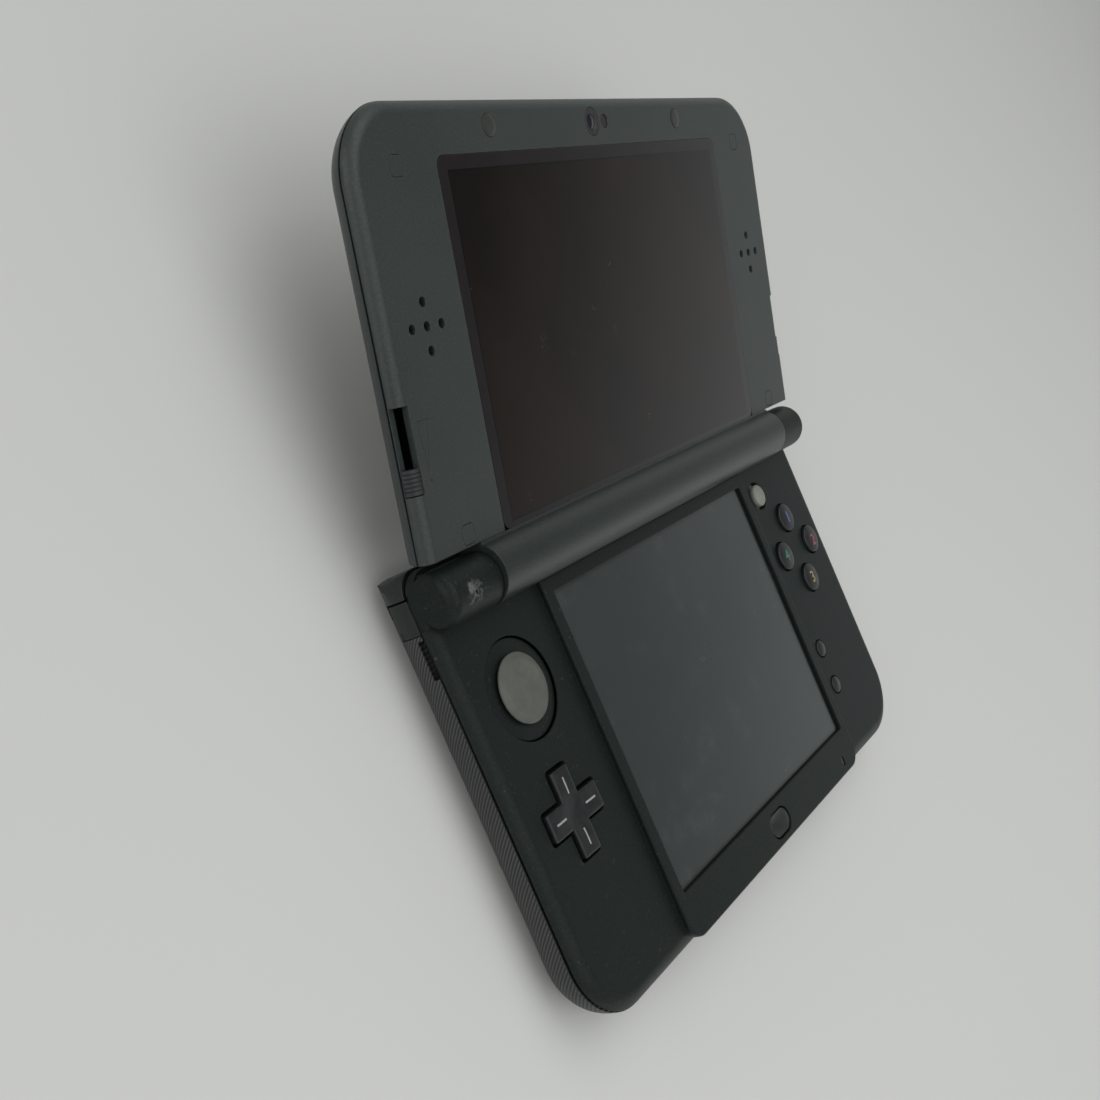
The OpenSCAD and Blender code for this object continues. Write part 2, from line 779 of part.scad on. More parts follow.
module headphone_jack() {
    color("#15171a") difference() {
        union() {
            headphone_block(0);
            translate([jack_x, 0, jack_z]) rod(jack_collar_r, jack_front_y, socket_front_y + past);
        }
        translate([jack_x, 0, jack_z]) rod(jack_r, front_y, socket_front_y + jack_len - 1);
    }
}

module charging_port() {
    color("#7d8083") translate([0, rear_y - 0.5, port_z]) rotate([90, 0, 0]) difference() {
        plate(port_w + 2 * port_wall, port_h + 2 * port_wall, 0.9, 0, port_len);
        plate(port_w, port_h, 0.5, -past, port_len - 1);
    }
}

module infrared_window() {
    color("#1a0d10") translate([infrared_x, rear_y - 0.05, port_z]) rotate([90, 0, 0])
        plate(infrared_w, infrared_h, 0.9, 0, wall + 0.6);
}

module status_light() {
    color("#131516") translate([status_x, status_y, 0])
        plate(1.0, 2.0, 0.4, plate_z - 0.4, panel_z - 0.25);
}

module button_membrane() {
    sheet_z = board_top + 0.05;
    sheet_top = sheet_z + 0.2;
    sheet_w = 2 * face_button_offset + face_button_d + 1;
    color("#c8cac6") {
        for (way = face_ways) translate([face_x + way[0] * face_button_offset,
            face_y + way[1] * face_button_offset, sheet_top - 0.02])
            cylinder(r1 = 2.4, r2 = 1.5, h = 0.6);
        translate([face_x, face_y, 0]) plate(sheet_w, sheet_w, 8, sheet_z, sheet_top);
        for (y = [start_y, select_y]) translate([small_x, y, 0]) disc(2.6, sheet_z, sheet_top);
    }
}

// ---- Base: controls ----

module slide_pad_base() {
    half = slide_hole_d / 2 + slide_travel - 0.3;
    rail_w = 1.2;
    color("#3c3f41") translate([slide_x, slide_y, 0]) difference() {
        plate(2 * half, 2 * half, 2, tray_top + 0.05, tray_top + 1.25);
        box(-half - past, half + past, -half + rail_w, half - rail_w, tray_top + 0.55, wing_z);
    }
}

module slide_pad_carriage() {
    half_y = slide_hole_d / 2 + 0.7;
    half_x = slide_hole_d / 2 - 0.7;
    z0 = tray_top + 0.6;
    slot_w = 2 * slide_post_r + 0.4;
    color("#74777a") translate([slide_x, slide_y, 0]) difference() {
        plate(2 * half_x, 2 * half_y, 1, z0, z0 + 0.7);
        box(-slot_w / 2, slot_w / 2, -slide_travel - slide_post_r - 0.3,
            slide_travel + slide_post_r + 0.3, 0, wing_z);
    }
}

module slide_pad_cap() {
    skirt_z = tray_top + 1.45;
    cap_z = wing_z + 0.05;
    edge = 0.5;
    color("#6d6f68") translate([slide_x, slide_y, 0]) difference() {
        union() {
            disc(slide_hole_d / 2 + slide_travel + 0.1, skirt_z, skirt_z + 0.4);
            disc(slide_hole_d / 2 - 1.1, skirt_z, wing_z - slide_rim_t - 0.25);
            disc(slide_post_r, tray_top + 0.9, skirt_z + 0.1);
            disc(4.6, skirt_z, cap_z + 0.1);
            rotate_extrude() union() {
                translate([0, cap_z]) square([slide_cap_d / 2, control_z - cap_z - edge]);
                translate([0, cap_z]) square([slide_cap_d / 2 - edge, control_z - cap_z]);
                translate([slide_cap_d / 2 - edge, control_z - edge]) circle(edge);
            }
        }
        // Shallow dish for the thumb
        translate([0, 0, control_z + 29.5]) sphere(r = 30, $fn = 96);
    }
}

module pointing_nub() {
    color("#8c8e85") translate([nub_x, nub_y, 0]) {
        disc(nub_d / 2 + 1.6, board_top + 0.05, plate_z - 0.2);
        disc(nub_d / 2 - 0.4, plate_z - 0.3, wing_z);
        rotate_extrude() intersection() {
            translate([0, wing_z - 0.5]) square([nub_d / 2, control_rise + 0.5]);
            translate([0, control_z - 4.5]) circle(4.5);
        }
    }
}

module direction_pad_seat() {
    color("#bfc1bd") translate([dpad_x, dpad_y, 0]) disc(2.6, dpad_pivot_z - 0.2,
        dpad_pivot_z + 0.3);
}

module direction_pad() {
    dish_r = 15;
    color("#17191a") translate([dpad_x, dpad_y, 0]) difference() {
        union() {
            dpad_cross(dpad_span, dpad_arm, 0.5);
            disc(dpad_flange_r, dpad_flange_z, dpad_flange_z + dpad_flange_t);
        }
        disc(3.4, 0, dpad_flange_z + dpad_flange_t - 0.1);
        translate([0, 0, dpad_top + dish_r - 0.25]) sphere(r = dish_r, $fn = 96);
    }
}

module face_button(way) {
    color("#17191a") translate([face_x + way[0] * face_button_offset,
        face_y + way[1] * face_button_offset, 0])
        round_button(face_button_d, control_z, flange_top, 2.8);
}

module face_button_north() {
    face_button(face_ways[0]);
}

module face_button_east() {
    face_button(face_ways[1]);
}

module face_button_south() {
    face_button(face_ways[2]);
}

module face_button_west() {
    face_button(face_ways[3]);
}

module start_button() {
    color("#17191a") translate([small_x, start_y, 0])
        round_button(small_button_d, wing_z + 0.5, flange_top, 0);
}

module select_button() {
    color("#17191a") translate([small_x, select_y, 0])
        round_button(small_button_d, wing_z + 0.5, flange_top, 0);
}

module home_button() {
    top = panel_z - 0.1;
    under = panel_z - wall - fit;
    color("#1d2021") translate([0, home_y, 0]) {
        plate(home_w, home_d, home_d / 2 - 0.01, under - 0.2, top);
        plate(home_w + 1.6, home_d + 1.6, 2, under - 0.5, under);
        disc(1.2, board_top + 0.6, under - 0.2);
    }
}

module power_button() {
    flange_y = front_y + wall + 0.9;
    color("#17191a") translate([power_x, 0, power_z]) rotate([90, 0, 0]) {
        plate(power_w, power_h, power_h / 2 - 0.01, -flange_y - 0.2, -front_y - 0.1);
        plate(power_w + 1.6, power_h + 1.2, 1.2, -flange_y - 0.45, -flange_y);
    }
}

module shoulder_button() {
    gap_top = 0.3;
    difference() {
        intersection() {
            rear_body();
            box(shoulder_in, body_w, shoulder_front_y, rear_y + past, shoulder_z, seam_z - gap_top);
        }
        linear_extrude(seam_z + past)
            round_rect(-body_w / 2, 0, body_w / 2 - shoulder_wall, rear_y - shoulder_wall,
                rear_corner_r - shoulder_wall);
    }
    translate([shoulder_pin_x, shoulder_pin_y, 0]) {
        disc(1.6, shoulder_z + 0.3, seam_z - gap_top);
        disc(shoulder_pin_r, 1.75, seam_z + 1.4);
    }
}

module right_shoulder_button() {
    color("#1c1f20") shoulder_button();
}

module left_shoulder_button() {
    color("#1c1f20") mirror([1, 0, 0]) shoulder_button();
}

module trigger() {
    flange_y = rear_y - wall - 1.1;
    translate([trigger_x, 0, trigger_z + trigger_h / 2]) rotate([-90, 0, 0]) {
        plate(trigger_w, trigger_h, 1, flange_y, rear_y + trigger_proud);
        plate(trigger_w + 1.8, trigger_h + 1.6, 1, flange_y, flange_y + 0.9);
    }
}

module right_trigger() {
    color("#1c1f20") trigger();
}

module left_trigger() {
    color("#1c1f20") mirror([1, 0, 0]) trigger();
}

module stylus() {
    end_y = front_y + stylus_len;
    tip = 9;
    color("#202324") {
        intersection() {
            stylus_axis() rod(stylus_r, front_y, end_y - tip);
            translate([0, 0.1, 0]) cover_body();
        }
        stylus_axis() {
            translate([0, end_y - tip, 0]) rotate([-90, 0, 0])
                cylinder(r1 = stylus_r, r2 = 0.8, h = tip - 0.8);
            translate([0, end_y - 0.8, 0]) sphere(r = 0.8, $fn = 32);
        }
    }
}

// ---- Hinge ----

module hinge_pins() {
    color("#9b9ea0") both_sides() on_hinge()
        axle(pin_r, barrel_len / 2 + run / 2 - pin_len / 2, barrel_len / 2 + run / 2 + pin_len / 2);
}

module hinge_barrel() {
    color("#3b3f3e") in_lid() difference() {
        union() {
            axle(barrel_r, -barrel_len / 2, barrel_len / 2);
            box(-barrel_len / 2, barrel_len / 2, 0, lid_near, -5, face_z);
        }
        both_sides() axle(pin_r + pin_play, barrel_len / 2 - pin_len / 2 - 1, body_w);
        axle(cable_bore_r, -barrel_len / 2 + 24, barrel_len / 2 - 24);
    }
}

module hinge_cable() {
    color("#8a5a2a") in_lid() difference() {
        axle(cable_bore_r - 0.3, -16, 16);
        axle(cable_bore_r - 1.1, -16 - past, 16 + past);
    }
}

// ---- Lid ----

module screw_places() {
    both_sides() for (place = lid_screw_at) translate([place[0], place[1], 0]) children();
}

module speaker_holes() {
    both_sides() translate([speaker_x, speaker_y, 0])
        for (way = [[0, 0], [1, 0], [0, 1], [-1, 0], [0, -1]])
            translate([way[0] * speaker_arm, way[1] * speaker_arm, 0])
                disc(speaker_hole_r, lid_plate_z - past, face_z + past);
}

module lid_inner_shell() {
    cavity_in = 1.5;
    color("#343a39") in_lid() difference() {
        swept_slab(body_w, lid_near, lid_reach, 0, corner_r, lid_seam_z, face_z, lid_seam,
            lid_seam);
        difference() {
            translate([0, 0, lid_seam_z - past]) linear_extrude(lid_plate_z - lid_seam_z + past)
                round_rect(-body_w / 2 + cavity_in, lid_near + cavity_in,
                    body_w / 2 - cavity_in, lid_reach - cavity_in, corner_r - cavity_in);
            screw_places() disc(2.6, lid_seam_z - past, face_z);
        }
        // Step for the glass and window for the display
        translate([0, 0, face_z - glass_t]) linear_extrude(glass_t + past)
            round_rect(-glass_w / 2 - 0.05, 0, glass_w / 2 + 0.05, glass_far + 0.05, 2);
        box(-upper_w / 2 - 1.3, upper_w / 2 + 1.3, upper_near - 0.9,
            upper_near + upper_h + 0.9, lid_seam_z - past, face_z);
        speaker_holes();
        both_sides() translate([bumper_x, camera_y, 0])
            disc(bumper_r + 0.05, face_z - 0.9, face_z + past);
        translate([0, camera_y, 0]) disc(2.9, lid_plate_z - past, face_z + past);
        translate([sensor_x, camera_y, 0]) disc(1.45, lid_plate_z - past, face_z + past);
        screw_places() {
            translate([0, 0, face_z - 0.8]) linear_extrude(2)
                round_rect(-screw_cover_w / 2 - 0.05, -screw_cover_w / 2 - 0.05,
                    screw_cover_w / 2 + 0.05, screw_cover_w / 2 + 0.05, 0.9);
            disc(1.45, lid_plate_z - 0.4, face_z);
            disc(0.85, lid_seam_z - past, face_z);
        }
        both_sides() box(body_w / 2 - slot_depth, body_w / 2 + past, slot_near,
            slot_near + slider_len + slider_travel + 2 * slider_gap, face_z - 2.2, face_z + past);
    }
}

module lid_outer_cover() {
    t = lid_floor_z - back_z;
    color("#2c3130") in_lid() difference() {
        union() {
            difference() {
                swept_slab(body_w, lid_near, lid_reach, 0, corner_r, back_z, lid_seam_z, dome_w,
                    dome_r, false);
                swept_slab(body_w - 2 * t, lid_near + t, lid_reach - t, 0, corner_r - t,
                    lid_floor_z, lid_seam_z + past, dome_w - t, dome_r - t, false);
            }
            screw_places() disc(2.3, lid_floor_z - 0.2, lid_seam_z - fit);
        }
        // Rounding of the edge next to the hinge
        rotate([90, 0, 90]) translate([0, 0, -body_w / 2 - past]) linear_extrude(body_w + 2 * past)
            difference() {
                translate([lid_near - past, back_z - past])
                    square([near_edge_r + past, near_edge_r + past]);
                translate([lid_near + near_edge_r, back_z + near_edge_r]) circle(near_edge_r);
            }
        screw_places() disc(0.85, lid_floor_z - 0.2, face_z);
        both_sides() translate([outer_camera_x, outer_camera_y, 0])
            disc(outer_camera_r + 0.05, back_z - past, lid_floor_z + past);
    }
}

module lid_screws() {
    color("#8b8d8f") in_lid() screw_places() difference() {
        union() {
            disc(1.35, lid_plate_z - 0.3, lid_plate_z + 0.5);
            disc(0.8, lid_floor_z, lid_plate_z);
        }
        for (turn = [0, 90]) rotate([0, 0, turn])
            box(-0.9, 0.9, -0.15, 0.15, lid_plate_z + 0.2, face_z);
    }
}

module screw_covers() {
    half = screw_cover_w / 2;
    color("#343a39") in_lid() screw_places() translate([0, 0, face_z - 0.78]) linear_extrude(0.75)
        round_rect(-half, -half, half, half, 0.85);
}

module lid_bumpers() {
    color("#202322") in_lid() both_sides() translate([bumper_x, camera_y, 0])
        intersection() {
            disc(bumper_r, face_z - 0.85, face_z + bumper_proud);
            translate([0, 0, face_z + bumper_proud - 8]) sphere(r = 8, $fn = 96);
        }
}

module upper_glass() {
    color("#15100e") in_lid() translate([0, 0, face_z - glass_t]) linear_extrude(glass_t)
        round_rect(-glass_w / 2, lid_near, glass_w / 2, glass_far, 1.95);
}

module upper_display() {
    color("#2a2624") in_lid() box(-upper_w / 2 - 1.2, upper_w / 2 + 1.2, upper_near - 0.8,
        upper_near + upper_h + 0.8, lid_seam_z + 0.05, face_z - glass_t - 0.05);
}

module speakers() {
    color("#3a3c3e") in_lid() both_sides() translate([speaker_x, speaker_y, 0])
        plate(speaker_w, speaker_len, 3, lid_plate_z - speaker_t - 0.1, lid_plate_z - 0.1);
}

module inner_camera() {
    color("#101213") in_lid() translate([0, camera_y, 0]) difference() {
        union() {
            disc(2.85, lid_plate_z + 0.1, face_z);
            disc(2.4, lid_plate_z - 1.1, lid_plate_z + 0.2);
        }
        disc(1.65, face_z - 0.4, face_z + past);
    }
}

module outer_cameras() {
    color("#101213") in_lid() both_sides() translate([outer_camera_x, outer_camera_y, 0])
        difference() {
            union() {
                disc(outer_camera_r, back_z + 0.1, lid_floor_z);
                disc(outer_camera_r + 1, lid_floor_z + 0.05, lid_floor_z + 1.6);
                disc(outer_camera_r - 0.5, lid_floor_z - 0.2, lid_floor_z + 0.2);
            }
            disc(1.9, back_z - past, back_z + 0.6);
        }
}

module camera_board() {
    color("#1f5a3a") in_lid() translate([0, camera_y - 0.6, 0])
        plate(46, 6, 1, lid_plate_z - 1.9, lid_plate_z - 1.2);
}

module light_sensor() {
    color("#0d0f10") in_lid() translate([sensor_x, camera_y, 0]) disc(1.4, lid_plate_z, face_z - 0.25);
}

// Slider in the slot of the lid's edge, with a foot behind the wall of the shell
module lid_slider() {
    y0 = slot_near + slider_gap;
    intersection() {
        swept_slab(body_w, lid_near, lid_reach, 0, corner_r, lid_seam_z, face_z - 0.1, lid_seam,
            lid_seam);
        box(body_w / 2 - slot_depth + 0.15, body_w / 2, y0, y0 + slider_len, face_z - 2.1,
            face_z);
    }
    box(body_w / 2 - slot_depth - 1.2, body_w / 2 - slot_depth + 1, y0 + 0.5,
        y0 + slider_len - 0.5, lid_plate_z - 0.7, lid_plate_z - 0.1);
}

module depth_slider() {
    color("#1d2122") in_lid() lid_slider();
}

module volume_slider() {
    color("#1d2122") in_lid() mirror([1, 0, 0]) lid_slider();
}

base_top_shell();
slide_pad_surround();
direction_pad_surround();
bottom_housing();
bottom_cover();
rest_pads();
cover_screws();
housing_screws();
touch_panel();
lower_display();
main_board();
wireless_module();
battery();
game_card_slot();
memory_card_slot();
headphone_jack();
charging_port();
infrared_window();
status_light();
button_membrane();
slide_pad_base();
slide_pad_carriage();
slide_pad_cap();
pointing_nub();
direction_pad_seat();
direction_pad();
face_button_north();
face_button_east();
face_button_south();
face_button_west();
start_button();
select_button();
home_button();
power_button();
left_shoulder_button();
right_shoulder_button();
left_trigger();
right_trigger();
stylus();
hinge_pins();
hinge_barrel();
hinge_cable();
lid_inner_shell();
lid_outer_cover();
lid_screws();
screw_covers();
lid_bumpers();
upper_glass();
upper_display();
speakers();
inner_camera();
outer_cameras();
camera_board();
light_sensor();
volume_slider();
depth_slider();
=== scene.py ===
import math
import bpy
import bmesh
from mathutils import Euler, Matrix, Vector
from mathutils.geometry import convex_hull_2d, intersect_point_line


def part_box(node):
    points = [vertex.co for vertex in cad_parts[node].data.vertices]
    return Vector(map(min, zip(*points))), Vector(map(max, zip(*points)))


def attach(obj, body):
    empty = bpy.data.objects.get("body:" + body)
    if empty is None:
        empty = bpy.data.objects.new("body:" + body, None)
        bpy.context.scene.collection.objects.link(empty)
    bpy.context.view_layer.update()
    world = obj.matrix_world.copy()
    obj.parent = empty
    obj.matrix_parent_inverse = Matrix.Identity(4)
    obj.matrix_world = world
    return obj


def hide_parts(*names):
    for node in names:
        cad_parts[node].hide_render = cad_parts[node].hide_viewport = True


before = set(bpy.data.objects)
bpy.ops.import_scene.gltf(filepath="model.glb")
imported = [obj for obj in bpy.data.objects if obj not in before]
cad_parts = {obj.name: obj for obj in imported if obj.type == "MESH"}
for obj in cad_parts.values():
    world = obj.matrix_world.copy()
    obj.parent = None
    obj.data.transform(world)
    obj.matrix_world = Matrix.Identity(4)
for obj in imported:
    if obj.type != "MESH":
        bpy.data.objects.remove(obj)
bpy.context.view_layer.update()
mm = 0.001
print("stage: frame loaded")

# The lid lies on the hinge axis, turned back by its open tilt; y runs up the lid, z out of its face
hinge = Vector((0, 39.1, 14.7))
lidTilt = math.radians(16)
lidFrame = Matrix.Translation(hinge) @ Matrix.Rotation(lidTilt, 4, "X")
seamAt = {"base": 9.6, "lid": -1.3}  # lower edges of the two shells, the lid's along its own z

# Camera: place in metres, turn in degrees
view = {
    "place": (-0.256029, 0.050519, 0.171643),
    "turn": (26.036192, -48.267237, -36.597476),
    "lens": 44.4438,
    "shift": (0.012139, 0.003632),
}
lens = bpy.data.cameras.new("camera")
lens.lens = view["lens"]
lens.sensor_width = 36
lens.shift_x, lens.shift_y = view["shift"]
lens.clip_start = 0.01
camera = bpy.data.objects.new("camera", lens)
camera.location = view["place"]
camera.rotation_euler = Euler([math.radians(a) for a in view["turn"]])
bpy.context.scene.collection.objects.link(camera)
bpy.context.scene.camera = camera
bpy.context.scene.view_settings.view_transform = "Standard"


# A value in a material's node tree, which plain sums and products extend
class Flow:
    def __init__(self, finish, socket):
        self.finish = finish
        self.socket = socket

    def math(self, operation, other, turned=False):
        pair = (other, self) if turned else (self, other)
        return self.finish.node("ShaderNodeMath", {"operation": operation}, dict(enumerate(pair)))

    def __add__(self, other):
        return self.math("ADD", other)

    def __radd__(self, other):
        return self.math("ADD", other)

    def __sub__(self, other):
        return self.math("SUBTRACT", other)

    def __rsub__(self, other):
        return self.math("SUBTRACT", other, True)

    def __mul__(self, other):
        return self.math("MULTIPLY", other)

    def __abs__(self):
        return self.math("ABSOLUTE", 0.0)

    def __or__(self, other):
        return self.math("MAXIMUM", other)


# A material in the making, with its place on the object in millimetres
class Finish:
    def __init__(self, name, onLid=False, soft=0.0):
        self.material = bpy.data.materials.new(name)
        self.material.use_nodes = True
        self.tree = self.material.node_tree
        self.tree.nodes.clear()
        at = self.node("ShaderNodeTexCoord", {}, {}, "Object")
        if onLid:
            at = self.node("ShaderNodeMapping", {"vector_type": "TEXTURE"},
                           {"Vector": at, "Location": hinge * mm, "Rotation": (lidTilt, 0, 0)})
        self.at = self.node("ShaderNodeVectorMath", {"operation": "SCALE"},
                            {"Vector": at, "Scale": 1000.0})
        self.x, self.y, self.z = (self.node("ShaderNodeSeparateXYZ", {}, {0: self.at}, i)
                                  for i in range(3))
        self.normal = None
        if soft:
            self.normal = self.node("ShaderNodeBevel", {"samples": 4}, {"Radius": soft * mm})

    def node(self, kind, settings, values, out=0):
        made = self.tree.nodes.new(kind)
        for name, value in settings.items():
            setattr(made, name, value)
        for name, value in values.items():
            if isinstance(value, Flow):
                self.tree.links.new(value.socket, made.inputs[name])
                continue
            standing = made.inputs[name].default_value
            isColour = hasattr(standing, "__len__") and len(standing) == 4 and len(value) == 3
            made.inputs[name].default_value = (*value, 1) if isColour else value
        return Flow(self, made.outputs[out])

    def mix(self, share, first, second):
        return self.node("ShaderNodeMix", {"data_type": "RGBA"}, {0: share, 6: first, 7: second}, 2)

    def noise(self, perMm, detail=2.0, rough=0.5):
        return self.node("ShaderNodeTexNoise", {}, {"Vector": self.at, "Scale": perMm,
                                                    "Detail": detail, "Roughness": rough})

    def cells(self, perMm):
        colour = self.node("ShaderNodeTexVoronoi", {}, {"Vector": self.at, "Scale": perMm}, "Color")
        return self.node("ShaderNodeSeparateColor", {}, {0: colour}, 0)

    def ease(self, value, low, high):
        return self.node("ShaderNodeMapRange", {"interpolation_type": "SMOOTHSTEP"},
                         {0: value, 1: low, 2: high, 3: 0.0, 4: 1.0})

    # Scattered specks, the fewer the nearer rare is to 1
    def dust(self, rare, perMm):
        return self.ease(self.cells(0.5), rare, 1.0) * self.ease(self.noise(perMm, 2), 0.58, 0.62)

    def away(self, place):
        return self.node("ShaderNodeVectorMath", {"operation": "DISTANCE"},
                         {0: self.at, 1: place}, "Value")

    # 1 within half width and half height of a place, fading over the given softness
    def patch(self, x, y, halfW, halfH, fade=0.03):
        inX = 1 - self.ease(abs(self.x - x), halfW - fade, halfW + fade)
        inY = 1 - self.ease(abs(self.y - y), halfH - fade, halfH + fade)
        return inX * inY

    # 1 within a distance of the straight line from a to b
    def stroke(self, a, b, width, fade=0.04):
        dx, dy = b[0] - a[0], b[1] - a[1]
        long = math.hypot(dx, dy)
        along = (self.x - a[0]) * (dx / long) + (self.y - a[1]) * (dy / long)
        near = self.node("ShaderNodeClamp", {}, {0: along, 1: 0.0, 2: long})
        offX = self.x - (near * (dx / long) + a[0])
        offY = self.y - (near * (dy / long) + a[1])
        off = (offX * offX + offY * offY).math("POWER", 0.5)
        return 1 - self.ease(off, width / 2 - fade, width / 2 + fade)

    def bump(self, height, depth, strength=1.0):
        values = {"Height": height, "Distance": depth * mm, "Strength": strength}
        if self.normal:
            values["Normal"] = self.normal
        self.normal = self.node("ShaderNodeBump", {}, values)

    # 1 where the rounded edge's normal leaves the face's own, so along edges
    def edges(self, rounded, low=0.02, high=0.2):
        plain = self.node("ShaderNodeNewGeometry", {}, {}, "Normal")
        dot = self.node("ShaderNodeVectorMath", {"operation": "DOT_PRODUCT"},
                        {0: rounded, 1: plain}, "Value")
        return self.ease(1 - dot, low, high)

    def close(self, colour, roughness, **fixed):
        values = {"Base Color": colour, "Roughness": roughness}
        values.update({name.replace("_", " "): value for name, value in fixed.items()})
        if self.normal:
            values["Normal"] = self.normal
        shader = self.node("ShaderNodeBsdfPrincipled", {}, values)
        end = self.tree.nodes.new("ShaderNodeOutputMaterial")
        self.tree.links.new(shader.socket, end.inputs["Surface"])
        return self.material


def linear(code):
    parts = [int(code[i:i + 2], 16) / 255 for i in (1, 3, 5)]
    return tuple(c / 12.92 if c <= 0.04045 else ((c + 0.055) / 1.055) ** 2.4 for c in parts)


def shade(tint, share):
    return tuple(c * share for c in tint)


# Tints of what lies in shadow
dark = {"seam": (0.0008, 0.0008, 0.0008), "cut": (0.002, 0.002, 0.002), "rib": (0.006, 0.006, 0.006)}


# Satin moulded plastic: fine teal grain, rubbed edges, and shadow in the seam
def satin(name, tint, onLid=False, soft=0.3, rough=0.42, marks=None, seam=None, shine=0.4):
    f = Finish(name, onLid, soft)
    rounded = f.normal
    cloud = f.noise(0.03, 3)
    tone = f.mix(f.ease(cloud, 0.35, 0.65), shade(tint, 0.92), shade(tint, 1.08))
    fleck = f.ease(f.noise(2.2, 3, 0.7), 0.42, 0.7)
    tone = f.mix(fleck * 0.7, tone, [c * 1.8 + extra for c, extra in zip(tint, (0, 0.005, 0.004))])
    rub = f.edges(rounded) * f.ease(f.noise(0.25, 3), 0.4, 0.7) * 0.22
    tone = f.mix(rub, tone, shade(tint, 3.0))
    grain = f.noise(5.0, 2, 0.6)
    height = grain
    roughness = rough + (cloud - 0.5) * 0.1 + (grain - 0.5) * 0.12
    if marks:
        tone, roughness, height = marks(f, tone, roughness, height)
    if seam is not None:
        tone = f.mix(1 - f.ease(f.z, seam, seam + 0.45), tone, dark["seam"])
    f.bump(height, 0.018, 0.6)
    return f.close(tone, roughness, Specular_IOR_Level=shine)


# Engraved wedge and dot beside the volume slider, and two ticks beside the other slider, their lines
# painted near-black as the shade in them
sliderMarks = {
    "corners": ((-75.6, 30.8), (-72.6, 30.8), (-75, 22.1)), "wedgeLine": 0.22,
    "dot": ((-74.8, 20.4), (-74.79, 20.4)), "dotWide": 0.7,
    "ticks": (((74.6, 32.3), (74.6, 29.3)), ((73.9, 21), (75.3, 21))), "tickLine": 0.3,
}


def lidMarks(f, tone, roughness, height):
    m = sliderMarks
    left, right, foot = m["corners"]
    line = m["wedgeLine"]
    wedge = f.stroke(left, right, line) | f.stroke(left, foot, line) | f.stroke(right, foot, line)
    dot = f.stroke(*m["dot"], m["dotWide"])
    upper, lower = m["ticks"]
    ticks = f.stroke(*upper, m["tickLine"]) | f.stroke(*lower, m["tickLine"])
    cut = wedge | dot | ticks
    # Painted shade: the engraved lines darkened nearly to black
    return f.mix(cut * 0.75, tone, dark["cut"]), roughness, height - cut * 2.5


# Knocked and scuffed place on the left end barrel, with a small pit painted near-black as its shade, and
# a bluish streak
wear = {
    "scuffAt": (-73.2, 37.6, 19.4), "scuffReach": 4.2, "scuffTint": (0.13, 0.135, 0.127),
    "pitAt": (-72.9, 37.4, 19.4), "pitReach": 0.5,
    "streakAt": (-70.4, 37.9, 19.4), "streakReach": 1.8, "streakTint": (0.06, 0.066, 0.085),
}


def barrelWear(f, tone, roughness, height):
    near = 1 - f.ease(f.away(wear["scuffAt"]), 0.3, wear["scuffReach"])
    wander = f.noise(0.9, 4, 0.6)
    scuff = f.ease(near + (wander - 0.5) * 3.2, 0.4, 1.5)
    pit = 1 - f.ease(f.away(wear["pitAt"]), 0.25, wear["pitReach"])
    beside = 1 - f.ease(f.away(wear["streakAt"]), 0.4, wear["streakReach"])
    streak = f.ease(f.noise(1.1, 3), 0.56, 0.64) * beside
    tone = f.mix(scuff * 0.8, tone, wear["scuffTint"])
    tone = f.mix(streak * 0.6, tone, wear["streakTint"])
    # Painted shade in the pit
    tone = f.mix(pit, tone, dark["cut"])
    return tone, roughness + scuff * 0.2, height - scuff * 0.8 - pit * 3


# Tints of the dark plastic, part by part; the wing's darker tint is painted shade and the lid's lighter
# one is painted light, on what is one plastic
plasticLitAndShaded = {
    "wing": linear("#131817"),
    "lid": linear("#222827"),
    "back": linear("#202625"),
    "barrel": linear("#1c2120"),
    "housing": linear("#191d1d"),
}
wingSatin = satin("wingSatin", plasticLitAndShaded["wing"], marks=barrelWear, seam=seamAt["base"], shine=0.14)
lidSatin = satin("lidSatin", plasticLitAndShaded["lid"], True, marks=lidMarks, seam=seamAt["lid"])
backSatin = satin("backSatin", plasticLitAndShaded["back"], True, rough=0.36)
barrelSatin = satin("barrelSatin", plasticLitAndShaded["barrel"], True, rough=0.36)
housingSatin = satin("housingSatin", plasticLitAndShaded["housing"], rough=0.4, shine=0.3)


# Fine ribs: level across the underside, slanting on the sides, with painted shade in the grooves between
# them, and painted shade on the rim and in the pry notch at the seam
ribs = {"pitch": 0.96, "depth": 0.16, "rim": 9.42, "notch": (25.6, 33.2), "notchLow": 8.15,
        "crest": linear("#424443"), "worn": linear("#3a3c3c")}


def ribbed():
    f = Finish("ribbedCover", soft=0.3)
    rounded = f.normal
    wave = ((f.y - f.z) * (2 * math.pi / ribs["pitch"])).math("COSINE", 0.0)
    rib = f.ease(wave, -0.7, 0.7)
    grain = f.noise(6.0, 2)
    tone = f.mix(f.ease(f.noise(0.04, 3), 0.35, 0.65), ribs["worn"], ribs["crest"])
    # Painted shade in the grooves between the ribs
    tone = f.mix((1 - rib) * 0.85, tone, dark["rib"])
    tone = f.mix(f.edges(rounded) * 0.15, tone, (0.1, 0.1, 0.1))
    front, back = ribs["notch"]
    notch = f.ease(f.y, front, front + 0.2) * (1 - f.ease(f.y, back - 0.2, back))
    notch = notch * f.ease(f.z, ribs["notchLow"], ribs["notchLow"] + 0.1)
    # Painted shade on the rim at the seam and in the pry notch
    tone = f.mix(f.ease(f.z, ribs["rim"], ribs["rim"] + 0.12) | notch, tone, dark["cut"])
    f.bump(rib + grain * 0.12, ribs["depth"], 0.9)
    return f.close(tone, 0.5 + (grain - 0.5) * 0.15 - rib * 0.06, Specular_IOR_Level=0.4)


ribbedCover = ribbed()


